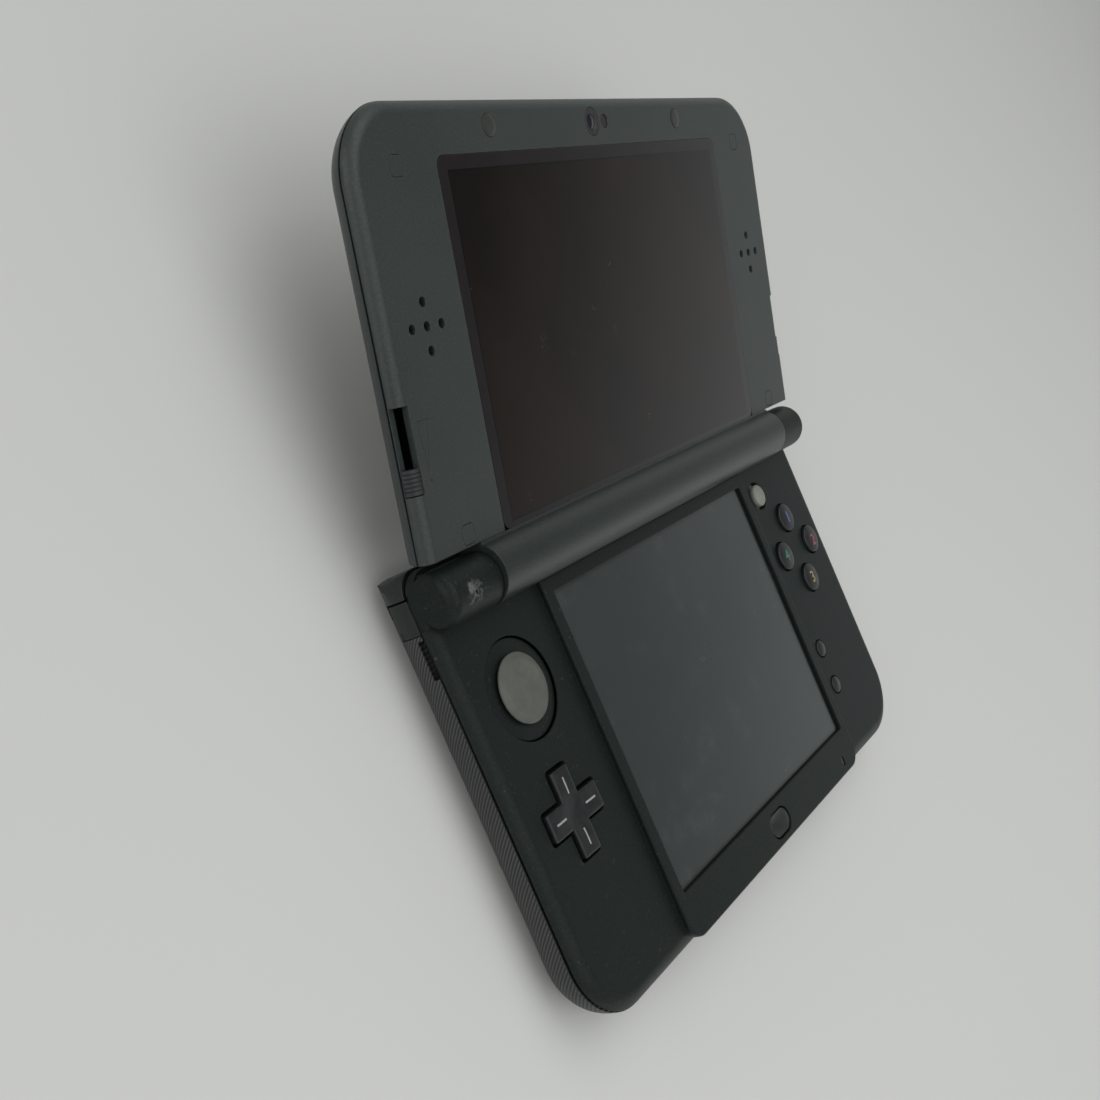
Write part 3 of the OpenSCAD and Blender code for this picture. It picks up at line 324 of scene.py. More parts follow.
# Dark moulded buttons, a little glossy, with greasy smudges
def buttonPlastic(name, tint, rough=0.32, onLid=False, soft=0.2):
    f = Finish(name, onLid, soft)
    rounded = f.normal
    smudge = f.ease(f.noise(0.5, 4, 0.6), 0.35, 0.7)
    tone = f.mix(smudge, tint, [c * 1.35 + 0.001 for c in tint])
    tone = f.mix(f.edges(rounded) * 0.25, tone, (0.04, 0.04, 0.04))
    f.bump(f.noise(7.0, 2) * 0.4, 0.02, 0.5)
    return f.close(tone, rough + smudge * 0.14, Specular_IOR_Level=0.4)


blackButton = buttonPlastic("blackButton", linear("#111415"))
polishedBlack = buttonPlastic("polishedBlack", linear("#151819"), 0.2)
sliderBlack = buttonPlastic("sliderBlack", linear("#171b1c"), 0.38, True, 0.1)


# Rubbery greys of the slide pad and the pointing nub
def rubbery(name, tint, rough, bumpsPerMm, depth):
    f = Finish(name, soft=0.1)
    patchy = f.noise(0.35, 4, 0.6)
    tone = f.mix(f.ease(patchy, 0.35, 0.7), shade(tint, 0.9), shade(tint, 1.07))
    dirt = f.ease(f.noise(1.8, 3), 0.6, 0.74) * 0.2
    tone = f.mix(dirt, tone, shade(tint, 0.55))
    grain = f.noise(bumpsPerMm, 2, 0.5)
    f.bump(grain, depth, 0.6)
    return f.close(tone, rough + (grain - 0.5) * 0.12, Specular_IOR_Level=0.3)


capGrey = rubbery("capGrey", linear("#53564f"), 0.62, 6.0, 0.03)
nubGrey = rubbery("nubGrey", linear("#7a7d74"), 0.7, 4.0, 0.04)
blackRubber = rubbery("blackRubber", linear("#131414"), 0.75, 5.0, 0.03)
bumperRubber = rubbery("bumperRubber", linear("#2c2f2c"), 0.34, 5.0, 0.01)
silicone = rubbery("silicone", (0.5, 0.51, 0.48), 0.5, 2.0, 0.02)


# The pictures, each in its own half: y from the near edge to the far one
upperPicture = {"halfW": 53.1, "near": 7.8, "far": 71.5, "hairline": 0.35}
lowerPicture = {"halfW": 42.5, "near": -34.5, "far": 29.2}


def pictureArea(f, p, more=0):
    mid, halfH = (p["near"] + p["far"]) / 2, (p["far"] - p["near"]) / 2
    return f.patch(0, mid, p["halfW"] + more, halfH + more)


# Glass of the upper screen: a border, a hairline, and the picture's brown-black
def upperGlassFinish():
    f = Finish("upperScreen", True, 0.15)
    picture = pictureArea(f, upperPicture)
    line = pictureArea(f, upperPicture, upperPicture["hairline"]) - picture
    haze = f.ease(f.noise(0.02, 3), 0.3, 0.7)
    screen = f.mix(haze, linear("#080504"), linear("#160d08"))
    border = f.mix(f.noise(0.2, 2), linear("#191617"), linear("#1e1b1b"))
    tone = f.mix(picture, border, screen)
    tone = f.mix(line, tone, dark["seam"])
    dust = f.dust(0.993, 2.5) * 0.25
    tone = f.mix(dust, tone, (0.12, 0.115, 0.11))
    smear = f.ease(f.noise(0.05, 4, 0.6), 0.45, 0.75)
    return f.close(tone, 0.1 + smear * 0.05 + dust * 0.4, Specular_IOR_Level=0.26)


# Matte touch film over the lower screen
def touchFilmFinish():
    f = Finish("touchFilm", False, 0.15)
    picture = pictureArea(f, lowerPicture)
    haze = f.ease(f.noise(0.02, 3), 0.3, 0.7)
    screen = f.mix(haze, linear("#172120"), linear("#1e2827"))
    tone = f.mix(picture, linear("#101312"), screen)
    blots = f.ease(f.noise(0.12, 5, 0.6), 0.5, 0.78)
    tone = f.mix(blots * 0.12, tone, linear("#3c4443"))
    dust = f.dust(0.99, 2.2) * 0.3
    tone = f.mix(dust, tone, (0.14, 0.15, 0.15))
    f.bump(f.noise(7.0, 2), 0.004, 0.3)
    return f.close(tone, 0.24 + blots * 0.06 + dust * 0.3, Specular_IOR_Level=1.0)


upperScreen = upperGlassFinish()
touchFilm = touchFilmFinish()


# Parts of one material with a faint grain
def plainPart(name, tint, rough, metal=0.0, perMm=2.0, depth=0.01, soft=0.15):
    f = Finish(name, soft=soft)
    grain = f.noise(perMm, 3, 0.6)
    tone = f.mix(f.ease(grain, 0.3, 0.7), shade(tint, 0.85), shade(tint, 1.12))
    f.bump(grain, depth, 0.5)
    return f.close(tone, rough + (grain - 0.5) * 0.15, Metallic=metal)


steel = plainPart("steel", (0.42, 0.43, 0.44), 0.34, 1.0, 3.0)
sheetMetal = plainPart("sheetMetal", (0.33, 0.33, 0.34), 0.42, 1.0, 0.8)
boardGreen = plainPart("boardGreen", (0.012, 0.09, 0.04), 0.4, 0.0, 1.5)
batteryWrap = plainPart("batteryWrap", (0.028, 0.03, 0.035), 0.45, 0.0, 1.2)
socketBlack = plainPart("socketBlack", (0.006, 0.006, 0.007), 0.45, 0.0, 4.0)
amberFilm = plainPart("amberFilm", (0.25, 0.1, 0.025), 0.35, 0.0, 1.0)
darkWindow = plainPart("darkWindow", (0.012, 0.004, 0.005), 0.12, 0.0, 1.0, 0.002)
speakerBox = plainPart("speakerBox", (0.035, 0.035, 0.036), 0.6, 0.0, 3.0)
lensGlass = plainPart("lensGlass", (0.004, 0.004, 0.009), 0.06, 0.0, 0.5, 0.001)
markGrey = plainPart("markGrey", linear("#90928b"), 0.6, 0.0, 3.0, 0.005, 0.03)
inks = {"one": ("inkBlue", "#5468b0"), "two": ("inkRed", "#a03c50"),
        "three": ("inkYellow", "#9c8c4c"), "four": ("inkGreen", "#2c7a60")}
numeralInk = {sign: plainPart(name, linear(code), 0.4, 0.0, 3.0, 0.003, 0.02)
              for sign, (name, code) in inks.items()}

finishOf = {
    "base_top_shell": wingSatin, "slide_pad_surround": wingSatin,
    "direction_pad_surround": wingSatin, "bottom_housing": housingSatin,
    "bottom_cover": ribbedCover, "rest_pads": blackRubber, "cover_screws": steel,
    "housing_screws": steel, "touch_panel": touchFilm, "lower_display": sheetMetal,
    "main_board": boardGreen, "wireless_module": sheetMetal, "battery": batteryWrap,
    "game_card_slot": sheetMetal, "memory_card_slot": sheetMetal, "headphone_jack": socketBlack,
    "charging_port": steel, "infrared_window": darkWindow, "status_light": darkWindow,
    "button_membrane": silicone, "slide_pad_base": socketBlack, "slide_pad_carriage": sheetMetal,
    "slide_pad_cap": capGrey, "pointing_nub": nubGrey, "direction_pad_seat": silicone,
    "direction_pad": blackButton, "face_button_north": blackButton,
    "face_button_east": blackButton, "face_button_south": blackButton,
    "face_button_west": blackButton, "start_button": blackButton, "select_button": blackButton,
    "home_button": blackButton, "power_button": blackButton,
    "left_shoulder_button": polishedBlack, "right_shoulder_button": polishedBlack,
    "left_trigger": polishedBlack, "right_trigger": polishedBlack, "stylus": blackButton,
    "hinge_pins": steel, "hinge_barrel": barrelSatin, "hinge_cable": amberFilm,
    "lid_inner_shell": lidSatin, "lid_outer_cover": backSatin, "lid_screws": steel,
    "screw_covers": lidSatin, "lid_bumpers": blackRubber, "upper_glass": upperScreen,
    "upper_display": sheetMetal, "speakers": speakerBox, "inner_camera": socketBlack,
    "outer_cameras": socketBlack, "camera_board": boardGreen, "light_sensor": darkWindow,
    "volume_slider": sliderBlack, "depth_slider": sliderBlack,
}
for nodeName, finish in finishOf.items():
    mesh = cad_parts[nodeName].data
    mesh.materials.clear()
    mesh.materials.append(finish)
print("stage: finishes on the CAD nodes")


# Making pieces, in millimetres: how close counts as the same, and how steep as upright or flat
limits = {
    "same": 0.01, "beside": 0.02, "merged": 0.002, "cut": 1e-5, "upright": 0.1, "flat": 0.99,
    "level": math.radians(0.3), "sharp": math.radians(32),
}
inlay = {"proud": 0.015, "sunk": -0.08}  # printed marks, above and below the face that they lie in


def nodeCopy(*names):
    bm = bmesh.new()
    for name in names:
        bm.from_mesh(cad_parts[name].data)
    bmesh.ops.scale(bm, vec=(1000, 1000, 1000), verts=bm.verts)
    bmesh.ops.remove_doubles(bm, verts=bm.verts, dist=limits["merged"])
    return bm


# A turned shape from its section, given as radius and height
def turned(section, steps=64):
    bm = bmesh.new()
    line = [bm.verts.new((r, 0, z)) for r, z in section]
    line += [bm.edges.new(pair) for pair in zip(line, line[1:])]
    bmesh.ops.spin(bm, geom=line, cent=(0, 0, 0), axis=(0, 0, 1), angle=2 * math.pi,
                   steps=steps, use_merge=True)
    bmesh.ops.remove_doubles(bm, verts=bm.verts, dist=0.001)
    bmesh.ops.recalc_face_normals(bm, faces=bm.faces)
    return bm


def arc(r, z, radius, start, end, parts=5):
    angles = [math.radians(start + (end - start) * i / parts) for i in range(parts + 1)]
    return [(r + radius * math.cos(a), z + radius * math.sin(a)) for a in angles]


def rounded(bm, edges, offset, segments=3, clamp=True):
    bmesh.ops.bevel(bm, geom=edges, offset=offset, offset_type="OFFSET", segments=segments,
                    profile=0.5, affect="EDGES", material=-1, clamp_overlap=clamp)


# A block standing between two heights
def block(long, wide, low, top):
    bm = bmesh.new()
    bmesh.ops.create_cube(bm, size=1)
    bmesh.ops.scale(bm, vec=(long, wide, top - low), verts=bm.verts)
    bmesh.ops.translate(bm, verts=bm.verts, vec=(0, 0, (top + low) / 2))
    return bm


def whole(bm):
    return bm.verts[:] + bm.edges[:] + bm.faces[:]


# The shape put in its place, with a copy as far on the other side of the middle
def twinned(bm, x, y):
    bmesh.ops.translate(bm, verts=bm.verts, vec=(x, y, 0))
    twin = bmesh.ops.duplicate(bm, geom=whole(bm))["geom"]
    copied = [v for v in twin if isinstance(v, bmesh.types.BMVert)]
    bmesh.ops.translate(bm, verts=copied, vec=(-2 * x, 0, 0))
    return bm


def piece(name, bm, finish, body, stands=(), at=(0, 0, 0), onLid=False):
    bmesh.ops.translate(bm, verts=bm.verts, vec=at)
    if onLid:
        bmesh.ops.transform(bm, matrix=lidFrame, verts=bm.verts)
    bmesh.ops.scale(bm, vec=(mm, mm, mm), verts=bm.verts)
    for face in bm.faces:
        face.smooth = True
    for edge in bm.edges:
        edge.smooth = len(edge.link_faces) == 2 and edge.calc_face_angle() < limits["sharp"]
    mesh = bpy.data.meshes.new(name)
    bm.to_mesh(mesh)
    bm.free()
    mesh.materials.append(finish)
    made = bpy.data.objects.new(name, mesh)
    bpy.context.scene.collection.objects.link(made)
    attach(made, body)
    if stands:
        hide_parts(*stands)
    return made


# Everything cut by a plane, so that points on it can move
def cutAlong(bm, place, normal):
    bmesh.ops.bisect_plane(bm, geom=whole(bm), dist=limits["cut"], plane_co=place,
                           plane_no=normal)


# The outer rim at a shell's lower edge drawn in, so that a groove runs round it at the seam
def seamGroove(bm, level, high, deep):
    cutAlong(bm, (0, 0, level + high), (0, 0, 1))
    ring = [v for v in bm.verts if abs(v.co.z - level) < limits["same"]]
    flat = [v.co.xy for v in ring]
    hull = [flat[i] for i in convex_hull_2d(flat)]
    sides = []
    for a, b in zip(hull, hull[1:] + hull[:1]):
        along = (b - a).normalized()
        sides.append((a, b, Vector((along.y, -along.x))))
    moves = []
    for vert in ring:
        out = Vector((0, 0))
        for a, b, normal in sides:
            near, share = intersect_point_line(vert.co.xy, a, b)
            beside = (near.xy - vert.co.xy).length < limits["beside"]
            if beside and -limits["same"] < share < 1 + limits["same"]:
                out += normal
        if out.length > 0:
            moves.append((vert, out.normalized()))
    for vert, out in moves:
        vert.co.x -= out.x * deep
        vert.co.y -= out.y * deep


# Convex edges at the given heights, between a flat face and an upright one
def rimEdges(bm, heights):
    rims = []
    for edge in bm.edges:
        if len(edge.link_faces) != 2 or not edge.is_convex:
            continue
        off = max(min(abs(v.co.z - height) for height in heights) for v in edge.verts)
        slopes = sorted(abs(face.normal.z) for face in edge.link_faces)
        if off < limits["same"] and slopes[0] < limits["upright"] and slopes[1] > limits["flat"]:
            rims.append(edge)
    return rims


# A shell's groove at its seam, its flat faces joined up and its rims eased
def shellDetails(bm, shell):
    seamGroove(bm, shell["seam"], shell["grooveHigh"], shell["grooveDeep"])
    bmesh.ops.dissolve_limit(bm, angle_limit=limits["level"], verts=bm.verts, edges=bm.edges)
    rounded(bm, rimEdges(bm, shell["faces"]), shell["ease"], 2, False)


def evenShading(made):
    smoother = made.modifiers.new("evenShading", "WEIGHTED_NORMAL")
    smoother.keep_sharp = True


def within(place, low, high, axes=(0, 1, 2)):
    return all(low[i] - limits["beside"] < place[i] < high[i] + limits["beside"] for i in axes)


# Upper face of the base, in one moulding with the places round both pads, its holes eased
topShell = {
    "faces": (11.8, 13.1), "ease": 0.18,
    "seam": seamAt["base"], "grooveHigh": 0.4, "grooveDeep": 0.5,
    "rimUnder": 11.1, "rimRaised": 11.45,  # underside of the rim round the slide pad
}


def joinedTopShell():
    t = topShell
    inserts = ("slide_pad_surround", "direction_pad_surround")
    bm = nodeCopy("base_top_shell", *inserts)
    cutAlong(bm, (0, 0, t["rimUnder"]), (0, 0, 1))
    inner = set()  # the faces where a rim meets the shell
    for node in inserts:
        low, high = (Vector(corner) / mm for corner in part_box(node))
        for face in bm.faces:
            middle = face.calc_center_median()
            onSide = any(abs(middle[i] - end[i]) < limits["same"]
                         for i in (0, 1) for end in (low, high))
            if within(middle, low, high) and onSide and abs(face.normal.z) < limits["upright"]:
                inner.add(face)
    bmesh.ops.delete(bm, geom=list(inner), context="FACES")
    low, high = (Vector(corner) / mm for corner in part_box(inserts[0]))
    for vert in bm.verts:
        onUnderside = abs(vert.co.z - t["rimUnder"]) < limits["same"]
        if within(vert.co, low, high, (0, 1)) and onUnderside:
            vert.co.z = t["rimRaised"]
    shellDetails(bm, t)
    made = piece("topShell", bm, wingSatin, "base", ("base_top_shell",) + inserts)
    evenShading(made)


joinedTopShell()


# Inner shell of the lid, with a groove at the seam to the outer cover
lidShell = {"faces": (1.4,), "ease": 0.15, "seam": seamAt["lid"], "grooveHigh": 0.4, "grooveDeep": 0.45}


def lidShellPiece():
    bm = nodeCopy("lid_inner_shell")
    bmesh.ops.transform(bm, matrix=lidFrame.inverted(), verts=bm.verts)
    shellDetails(bm, lidShell)
    made = piece("lidShell", bm, lidSatin, "lid", ("lid_inner_shell",), onLid=True)
    evenShading(made)


lidShellPiece()
print("stage: upper face of the base, inner face of the lid")


# Slide pad: a broad flat grey cap with a wide shoulder, on a dark disc that slides under the shell
slidePad = {
    "at": (-62.8, 16.9, 0), "steps": 96,
    "radius": 6.85, "under": 11.85, "top": 12.9, "flat": 5.2, "dish": 0.2,
    "edge": 0.25, "shoulder": 0.5, "foot": (0.15, 0.12),  # roundings, and the chamfer at the foot
    "disc": 9.85, "discTop": 11.25, "discEdge": 0.2,
    "neckRadii": (6, 4.9, 4.6), "neckDip": 0.1, "neckTop": 11.87,
    "skirt": 12.45, "skirtUnder": 9.35, "skirtTop": 9.75, "stem": 2, "stemUnder": 8.2,
}


def slidePadPieces():
    s = slidePad
    section = [(0, s["under"]), (s["radius"] - s["foot"][0], s["under"]),
               (s["radius"], s["under"] + s["foot"][1])]
    section += arc(s["radius"] - s["edge"], s["under"] + 0.3, s["edge"], 0, 60, 3)
    section += arc(s["flat"], s["top"] - s["shoulder"], s["shoulder"], 62, 90, 3)
    for share in (0.94, 0.86, 0.76, 0.6, 0.4, 0.2, 0):
        section.append((s["flat"] * share, s["top"] - s["dish"] * (1 - share ** 3)))
    piece("slideCap", turned(section, s["steps"]), capGrey, "slide_pad_cap",
          ("slide_pad_cap",), s["at"])
    outer, middle, neck = s["neckRadii"]
    section = [(0, s["stemUnder"]), (s["stem"], s["stemUnder"]), (s["stem"], s["skirtUnder"]),
               (s["skirt"], s["skirtUnder"]), (s["skirt"], s["skirtTop"]), (s["disc"], s["skirtTop"])]
    section += arc(s["disc"] - s["discEdge"], s["discTop"] - s["discEdge"], s["discEdge"], 0, 90, 3)
    section += [(outer, s["discTop"]), (middle, s["discTop"] - s["neckDip"]),
                (neck, s["neckTop"]), (0, s["neckTop"])]
    piece("slideSkirt", turned(section, s["steps"]), wingSatin, "slide_pad_cap",
          at=s["at"])


slidePadPieces()


# Direction pad: crossed arms that fall to a dish in the middle, with a line on each arm
crossPad = {
    "at": (-63.4, -8.0, 0), "reach": 8.6, "arm": 5.5, "low": 9.6, "top": 12.55, "edge": 0.5,
    "dish": 0.34, "dishReach": 5.2, "plate": 6, "plateAt": 9.5, "plateHigh": 0.4,
    "lineFrom": 3.5, "lineTo": 6.8, "line": 0.4, "cuts": 5,
}


def crossTop(x, y):
    share = min(1, math.hypot(x, y) / crossPad["dishReach"])
    return crossPad["top"] - crossPad["dish"] * (1 - share * share) ** 2


def crossPieces():
    c = crossPad
    bm = block(c["arm"], c["arm"], c["low"], c["top"])
    for side in [face for face in bm.faces if abs(face.normal.z) < 0.5]:
        out = side.normal.copy()
        made = bmesh.ops.extrude_discrete_faces(bm, faces=[side])["faces"][0]
        bmesh.ops.translate(bm, verts=made.verts, vec=out * (c["reach"] - c["arm"] / 2))
    bmesh.ops.subdivide_edges(bm, edges=bm.edges, cuts=c["cuts"], use_grid_fill=True)
    # Every outer edge, upright or along the top, but none along the underside
    rims = [edge for edge in bm.edges if edge.is_convex and edge.calc_face_angle(0) > 1
            and max(v.co.z for v in edge.verts) > c["low"] + limits["same"]]
    for vert in bm.verts:
        if vert.co.z > c["top"] - limits["same"]:
            vert.co.z = crossTop(vert.co.x, vert.co.y)
    rounded(bm, rims, c["edge"], 4)
    bmesh.ops.create_cone(bm, cap_ends=True, segments=64, radius1=c["plate"], radius2=c["plate"],
                          depth=c["plateHigh"], matrix=Matrix.Translation((0, 0, c["plateAt"])))
    piece("crossPad", bm, blackButton, "direction_pad", ("direction_pad",), c["at"])
    bm = bmesh.new()
    for quarter in range(4):
        bar = bmesh.ops.create_cube(bm, size=1)["verts"]
        bmesh.ops.scale(bm, vec=(c["lineTo"] - c["lineFrom"], c["line"], 0.1), verts=bar)
        bmesh.ops.translate(bm, verts=bar, vec=((c["lineTo"] + c["lineFrom"]) / 2, 0, 0))
        turn = Matrix.Rotation(quarter * math.pi / 2, 3, "Z")
        bmesh.ops.rotate(bm, verts=bar, cent=(0, 0, 0), matrix=turn)
    longEdges = [edge for edge in bm.edges if edge.calc_length() > 1]
    bmesh.ops.subdivide_edges(bm, edges=longEdges, cuts=c["cuts"])
    for vert in bm.verts:
        side = "proud" if vert.co.z > 0 else "sunk"
        vert.co.z = crossTop(vert.co.x, vert.co.y) + inlay[side]
    piece("crossLines", bm, markGrey, "direction_pad", at=c["at"])


crossPieces()
print("stage: slide pad and direction pad")


# Round buttons with a crowned top, over a flange that keeps them in; the four large ones carry
# plain numerals
flange = {"under": 9.8, "top": 10.2, "reach": 1.2, "hollowUp": 0.9}


def crown(r, radius, top, sag):
    return top - sag * (r / radius) ** 2


def roundButton(name, node, x, y, radius, top, sag, hollow=0, edge=0.4):
    flat = radius - edge
    under = flange["under"]
    section = [(0, under)]
    if hollow:
        section = [(0, under + flange["hollowUp"]), (hollow, under + flange["hollowUp"]), (hollow, under)]
    section += [(radius + flange["reach"], under), (radius + flange["reach"], flange["top"]),
                (radius, flange["top"])]
    section += arc(flat, crown(flat, radius, top, sag) - edge, edge, 0, 90, 5)
    for share in (0.85, 0.65, 0.4, 0.2, 0):
        section.append((flat * share, crown(flat * share, radius, top, sag)))
    piece(name, turned(section), blackButton, node, (node,), (x, y, 0))


faceButtons = {
    "middle": (62.3, 8.6), "away": 8.4, "radius": 3.6, "top": 12.9, "sag": 0.32, "hollow": 2.8,
    "size": 4.2, "slice": 0.3, "slices": 7,  # numerals, cut finely enough to follow the crown
    "signs": {"one": "1", "two": "2", "three": "3", "four": "4"},
    "ways": {"one": ("north", 0, 1), "two": ("east", 1, 0),
             "three": ("south", 0, -1), "four": ("west", -1, 0)},
}
smallButtons = {"radius": 2.1, "top": 12.3, "sag": 0.25,
                "places": {"start": (52.7, -16.6), "select": (52.7, -26.6)}}


# The sign as a flat mesh round the origin
def signMesh(name, sign):
    curve = bpy.data.curves.new(name, "FONT")
    curve.body = faceButtons["signs"][sign]
    curve.size = faceButtons["size"]
    curve.align_x = "CENTER"
    curve.align_y = "CENTER"
    curve.resolution_u = 5
    shape = bpy.data.objects.new(name, curve)
    flat = bpy.data.meshes.new_from_object(shape)
    bm = bmesh.new()
    bm.from_mesh(flat)
    bpy.data.objects.remove(shape)
    bpy.data.curves.remove(curve)
    bpy.data.meshes.remove(flat)
    bmesh.ops.remove_doubles(bm, verts=bm.verts, dist=0.001)
    middle = sum((v.co for v in bm.verts), Vector()) / len(bm.verts)
    bmesh.ops.translate(bm, verts=bm.verts, vec=(-middle.x, -middle.y, 0))
    return bm


# A numeral as a thin inlay that follows the button's crown
def numeral(name, sign, x, y, body):
    b = faceButtons
    bm = signMesh(name, sign)
    for across in (Vector((1, 0, 0)), Vector((0, 1, 0))):
        for step in range(-b["slices"], b["slices"] + 1):
            cutAlong(bm, across * step * b["slice"], across)
    lifted = bmesh.ops.extrude_face_region(bm, geom=bm.faces[:])["geom"]
    high = {v for v in lifted if isinstance(v, bmesh.types.BMVert)}
    for vert in bm.verts:
        level = crown(math.hypot(vert.co.x, vert.co.y), b["radius"], b["top"], b["sag"])
        vert.co.z = level + inlay["proud" if vert in high else "sunk"]
    bmesh.ops.recalc_face_normals(bm, faces=bm.faces)
    piece(name, bm, numeralInk[sign], body, at=(x, y, 0))


def buttonPieces():
    b = faceButtons
    for sign, (way, dx, dy) in b["ways"].items():
        x, y = b["middle"][0] + dx * b["away"], b["middle"][1] + dy * b["away"]
        node = "face_button_" + way
        roundButton("faceButton_" + way, node, x, y, b["radius"], b["top"], b["sag"], b["hollow"])
        numeral("numeral_" + sign, sign, x, y, node)
    s = smallButtons
    for name, (x, y) in s["places"].items():
        roundButton(name + "Cap", name + "_button", x, y, s["radius"], s["top"], s["sag"])


buttonPieces()


# Shoulder buttons: the CAD's own form with its sharp edges well rounded, but for the front ones
shoulder = {"edge": 0.7, "least": math.radians(50), "front": 1, "shortest": 0.05}


def shoulderPieces():
    for side in ("left", "right"):
        node = side + "_shoulder_button"
        bm = nodeCopy(node)
        bmesh.ops.dissolve_limit(bm, angle_limit=math.radians(0.5), verts=bm.verts, edges=bm.edges)
        low, high = (Vector(corner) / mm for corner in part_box(node))
        sharp = []
        for edge in bm.edges:
            behind = sum(v.co.y for v in edge.verts) / 2 > low.y + shoulder["front"]
            if edge.is_convex and edge.calc_face_angle(0) > shoulder["least"] \
                    and edge.calc_length() > shoulder["shortest"] and behind:
                sharp.append(edge)
        rounded(bm, sharp, shoulder["edge"], 3)
        piece(side + "Shoulder", bm, polishedBlack, node, (node,))


shoulderPieces()


# Home button: a rounded bar just under the face of the panel
homeBar = {"at": (0, -40.6, 0), "long": 9.0, "wide": 5.4, "low": 11.2, "top": 13.0, "edge": 0.45,
           "sag": 0.12, "endGap": 0.02}


def homePiece():
    h = homeBar
    bm = block(h["long"], h["wide"], h["low"], h["top"])
    upright = [edge for edge in bm.edges if abs(edge.verts[0].co.z - edge.verts[1].co.z) > 1]
    rounded(bm, upright, h["wide"] / 2 - h["endGap"], 12)
    rims = [edge for edge in bm.edges
            if min(v.co.z for v in edge.verts) > h["top"] - limits["same"]]
    rounded(bm, rims, h["edge"], 4)
    for vert in bm.verts:
        if vert.co.z > h["top"] - limits["same"]:
            vert.co.z -= h["sag"] * (vert.co.y / h["wide"] * 2) ** 2
    piece("homeBar", bm, blackButton, "home_button", ("home_button",), h["at"])


homePiece()


# Pointing nub: a light cap with a low dome on a short neck
nub = {"at": (53.4, 25.5, 0), "radius": 2.8, "neck": 2.4, "low": 8.7, "top": 12.9, "sag": 0.35,
       "edge": 0.5, "foot": 4.4, "footTop": 10.0, "neckLow": 10.1, "neckTop": 11.2, "capUnder": 11.5}


def nubPiece():
    n = nub
    flat = n["radius"] - n["edge"]
    section = [(0, n["low"]), (n["foot"], n["low"]), (n["foot"], n["footTop"]),
               (n["neck"], n["neckLow"]), (n["neck"], n["neckTop"]), (n["radius"], n["capUnder"])]
    section += arc(flat, n["top"] - n["sag"] - n["edge"], n["edge"], 0, 90, 5)
    section += [(flat * s, n["top"] - n["sag"] * s ** 2) for s in (0.8, 0.6, 0.4, 0.2, 0)]
    piece("nubCap", turned(section), nubGrey, "base", ("pointing_nub",), n["at"])


nubPiece()
print("stage: buttons and nub")


# Cameras: a black bezel with a sloped seat, and a small domed lens in it
innerCamera = {
    "at": (0, 79.3, 0),
    "bezel": ((0, -1.1), (2.4, -1.1), (2.4, 0.1), (2.85, 0.1), (2.85, 1.28), (2.73, 1.38),
              (1.95, 1.38), (1.6, 1.0), (0, 1.0)),
    "lens": ((0, 0.95), (1.5, 0.95), (1.5, 1.05), (1.2, 1.17), (0.8, 1.25), (0.4, 1.29), (0, 1.3)),
}
outerCamera = {
    "x": 17.5, "y": 72.8,
    "bezel": ((0, 3.8), (4, 3.8), (4, 5.35), (3, 5.35), (3, 6.58), (2.88, 6.7), (2.2, 6.7),
              (1.8, 6.2), (0, 6.2)),
    "lens": ((0, 6.15), (1.7, 6.15), (1.7, 6.25), (1.35, 6.4), (0.9, 6.5), (0.45, 6.55), (0, 6.56)),
}


def cameraPieces():
    c = innerCamera
    piece("innerBezel", turned(c["bezel"]), socketBlack, "lid", ("inner_camera",),
          c["at"], True)
    piece("innerLens", turned(c["lens"]), lensGlass, "lid", at=c["at"], onLid=True)
    c = outerCamera
    for part, finish, slotName, stands in (("bezel", socketBlack, "socket_black", ("outer_cameras",)),
                                           ("lens", lensGlass, "screen_glass", ())):
        bm = turned(c[part])
        bmesh.ops.rotate(bm, verts=bm.verts, cent=(0, 0, 0), matrix=Matrix.Rotation(math.pi, 3, "X"))
        twinned(bm, c["x"], c["y"])
        piece("outer_" + part, bm, finish, "lid", stands, onLid=True)


cameraPieces()


# Bumpers: two small glossy domes in the lid's face, which meet the base when it closes
bumper = {"x": 38.0, "y": 79.3,
          "section": ((0, 0.55), (2.1, 0.55), (2.1, 1.4), (1.95, 1.47), (1.5, 1.5), (1, 1.515),
                      (0.5, 1.52), (0, 1.52))}


def bumperPieces():
    bm = twinned(turned(bumper["section"]), bumper["x"], bumper["y"])
    piece("bumperPair", bm, bumperRubber, "lid", ("lid_bumpers",), onLid=True)


bumperPieces()


# Sliders in the lid's edges, with grooves for the finger cut into the CAD's own form
sliderGrooves = {"first": 19.35, "step": 0.75, "count": 5, "half": 0.17, "deep": 0.16, "above": -0.7,
                 "onCut": 1e-3}


def sliderPieces():
    s = sliderGrooves
    middles = [s["first"] + s["step"] * i for i in range(s["count"])]
    for name in ("volume", "depth"):
        bm = nodeCopy(name + "_slider")
        bmesh.ops.transform(bm, matrix=lidFrame.inverted(), verts=bm.verts)
        for middle in middles:
            for y in (middle - s["half"], middle, middle + s["half"]):
                cutAlong(bm, (0, y, 0), (0, 1, 0))
        bm.normal_update()
        moves = [(v, v.normal.copy()) for v in bm.verts
                 if min(abs(v.co.y - middle) for middle in middles) < s["onCut"]]
        for vert, normal in moves:
            if vert.co.z > s["above"]:
                vert.co -= Vector((normal.x, 0, normal.z)) * s["deep"]
        piece(name + "Slider", bm, sliderBlack, name + "_slider",
              (name + "_slider",), onLid=True)


sliderPieces()
print("stage: cameras and sliders")
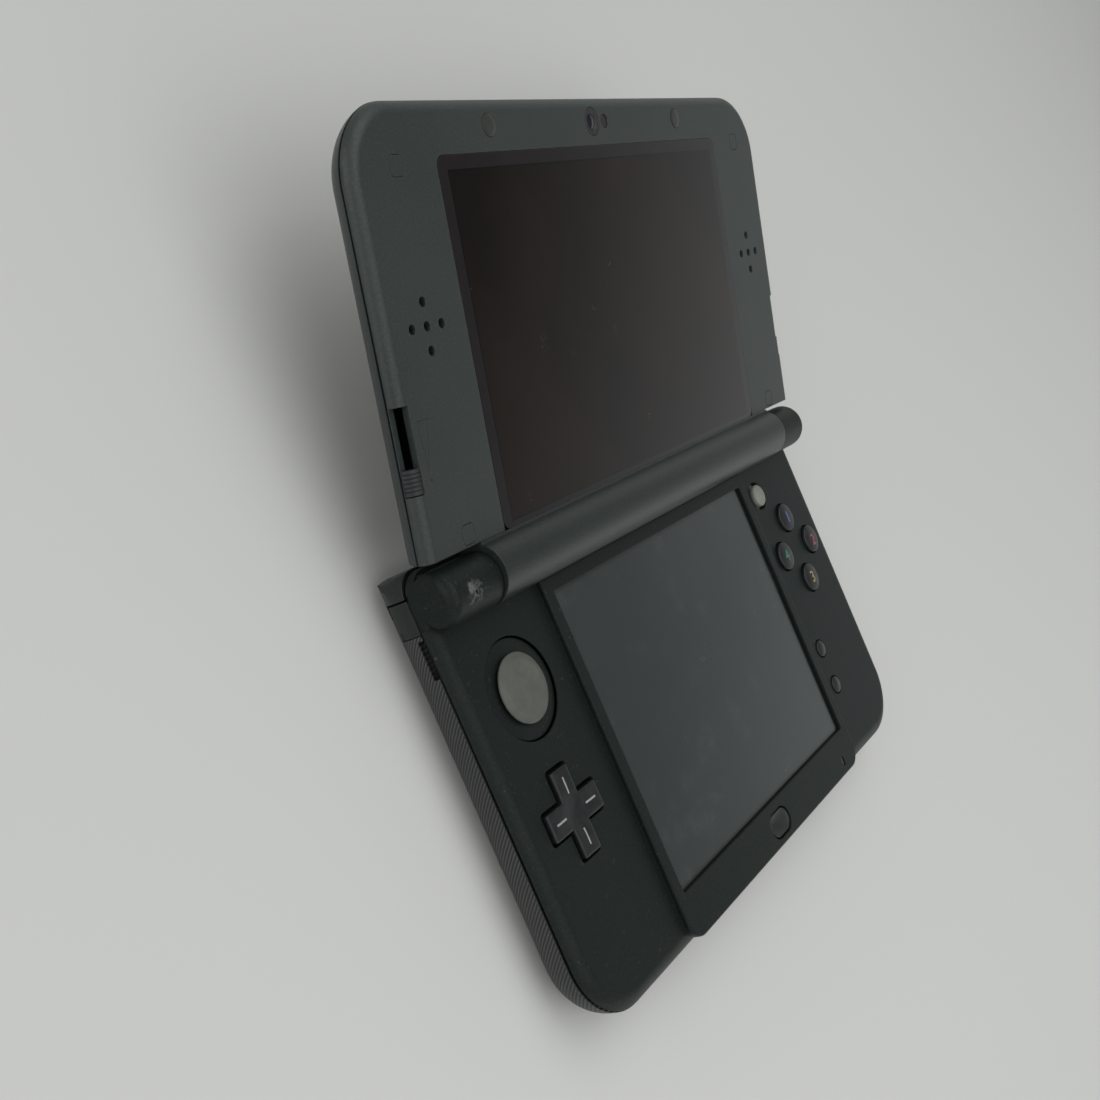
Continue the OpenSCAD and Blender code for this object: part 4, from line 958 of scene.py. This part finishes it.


# Floor, world and lamps: lengths in metres, but the floor's painted fade, light in front and darker
# behind, in millimetres
studio = {
    "near": linear("#cdcecb"), "nearY": -230, "far": linear("#bdbebb"), "farY": 260, "floor": 6,
    "sky": ((0.0, 0.5), (1.0, 0.3), (0.34, 0.66), (0.56, 0.14)),  # height and brightness
    "brighten": {"from": 0.1, "to": -1.0, "least": 1.0, "most": 2.0},  # along y, and its strength
    "lamps": {
        "keyLamp": ((-0.25, -0.3, 1.3), (0, 0.02, 0.02), 1.6, 7),
        "fillLamp": ((0.1, 0.8, 1.2), (0, 0.02, 0.02), 1.4, 7.5),
        "sideLamp": ((-1.1, 0.45, 0.4), (0, 0.06, 0.01), 1.2, 5),
    },
}


def paleFloor():
    f = Finish("paleFloor")
    # Painted fall-off of the light: the floor lighter in front and darker behind
    tone = f.mix(f.ease(f.y, studio["nearY"], studio["farY"]), studio["near"], studio["far"])
    return f.close(tone, 0.9, Specular_IOR_Level=0.1)


def studioFloor():
    bm = bmesh.new()
    bmesh.ops.create_grid(bm, x_segments=1, y_segments=1, size=studio["floor"])
    mesh = bpy.data.meshes.new("floor")
    bm.to_mesh(mesh)
    bm.free()
    mesh.materials.append(paleFloor())
    floor = bpy.data.objects.new("floor", mesh)
    bpy.context.scene.collection.objects.link(floor)


studioFloor()


# A light band near the horizon, brighter in front, under a quieter ceiling
def studioWorld():
    world = bpy.data.worlds.new("studio")
    world.use_nodes = True
    tree = world.node_tree
    background = tree.nodes["Background"]
    towards = tree.nodes.new("ShaderNodeTexCoord")
    split = tree.nodes.new("ShaderNodeSeparateXYZ")
    ramp = tree.nodes.new("ShaderNodeValToRGB")
    front = tree.nodes.new("ShaderNodeMapRange")
    for number, value in enumerate(studio["brighten"].values(), 1):
        front.inputs[number].default_value = value
    tree.links.new(towards.outputs["Generated"], split.inputs[0])
    tree.links.new(split.outputs["Z"], ramp.inputs[0])
    tree.links.new(split.outputs["Y"], front.inputs[0])
    tree.links.new(ramp.outputs[0], background.inputs["Color"])
    tree.links.new(front.outputs[0], background.inputs["Strength"])
    stops = ramp.color_ramp.elements
    for i, (place, grey) in enumerate(studio["sky"]):
        stop = stops[i] if i < 2 else stops.new(place)
        stop.position = place
        stop.color = (grey, grey * 1.01, grey * 1.01, 1)
    bpy.context.scene.world = world


studioWorld()


def softLamp(name, place, aim, size, power):
    data = bpy.data.lights.new(name, "AREA")
    data.shape = "DISK"
    data.size = size
    data.energy = power
    lamp = bpy.data.objects.new(name, data)
    lamp.location = place
    lamp.rotation_euler = (Vector(place) - Vector(aim)).to_track_quat("Z", "Y").to_euler()
    bpy.context.scene.collection.objects.link(lamp)


for lampName, (place, aim, size, power) in studio["lamps"].items():
    softLamp(lampName, place, aim, size, power)
print("stage: floor, world and lamps")
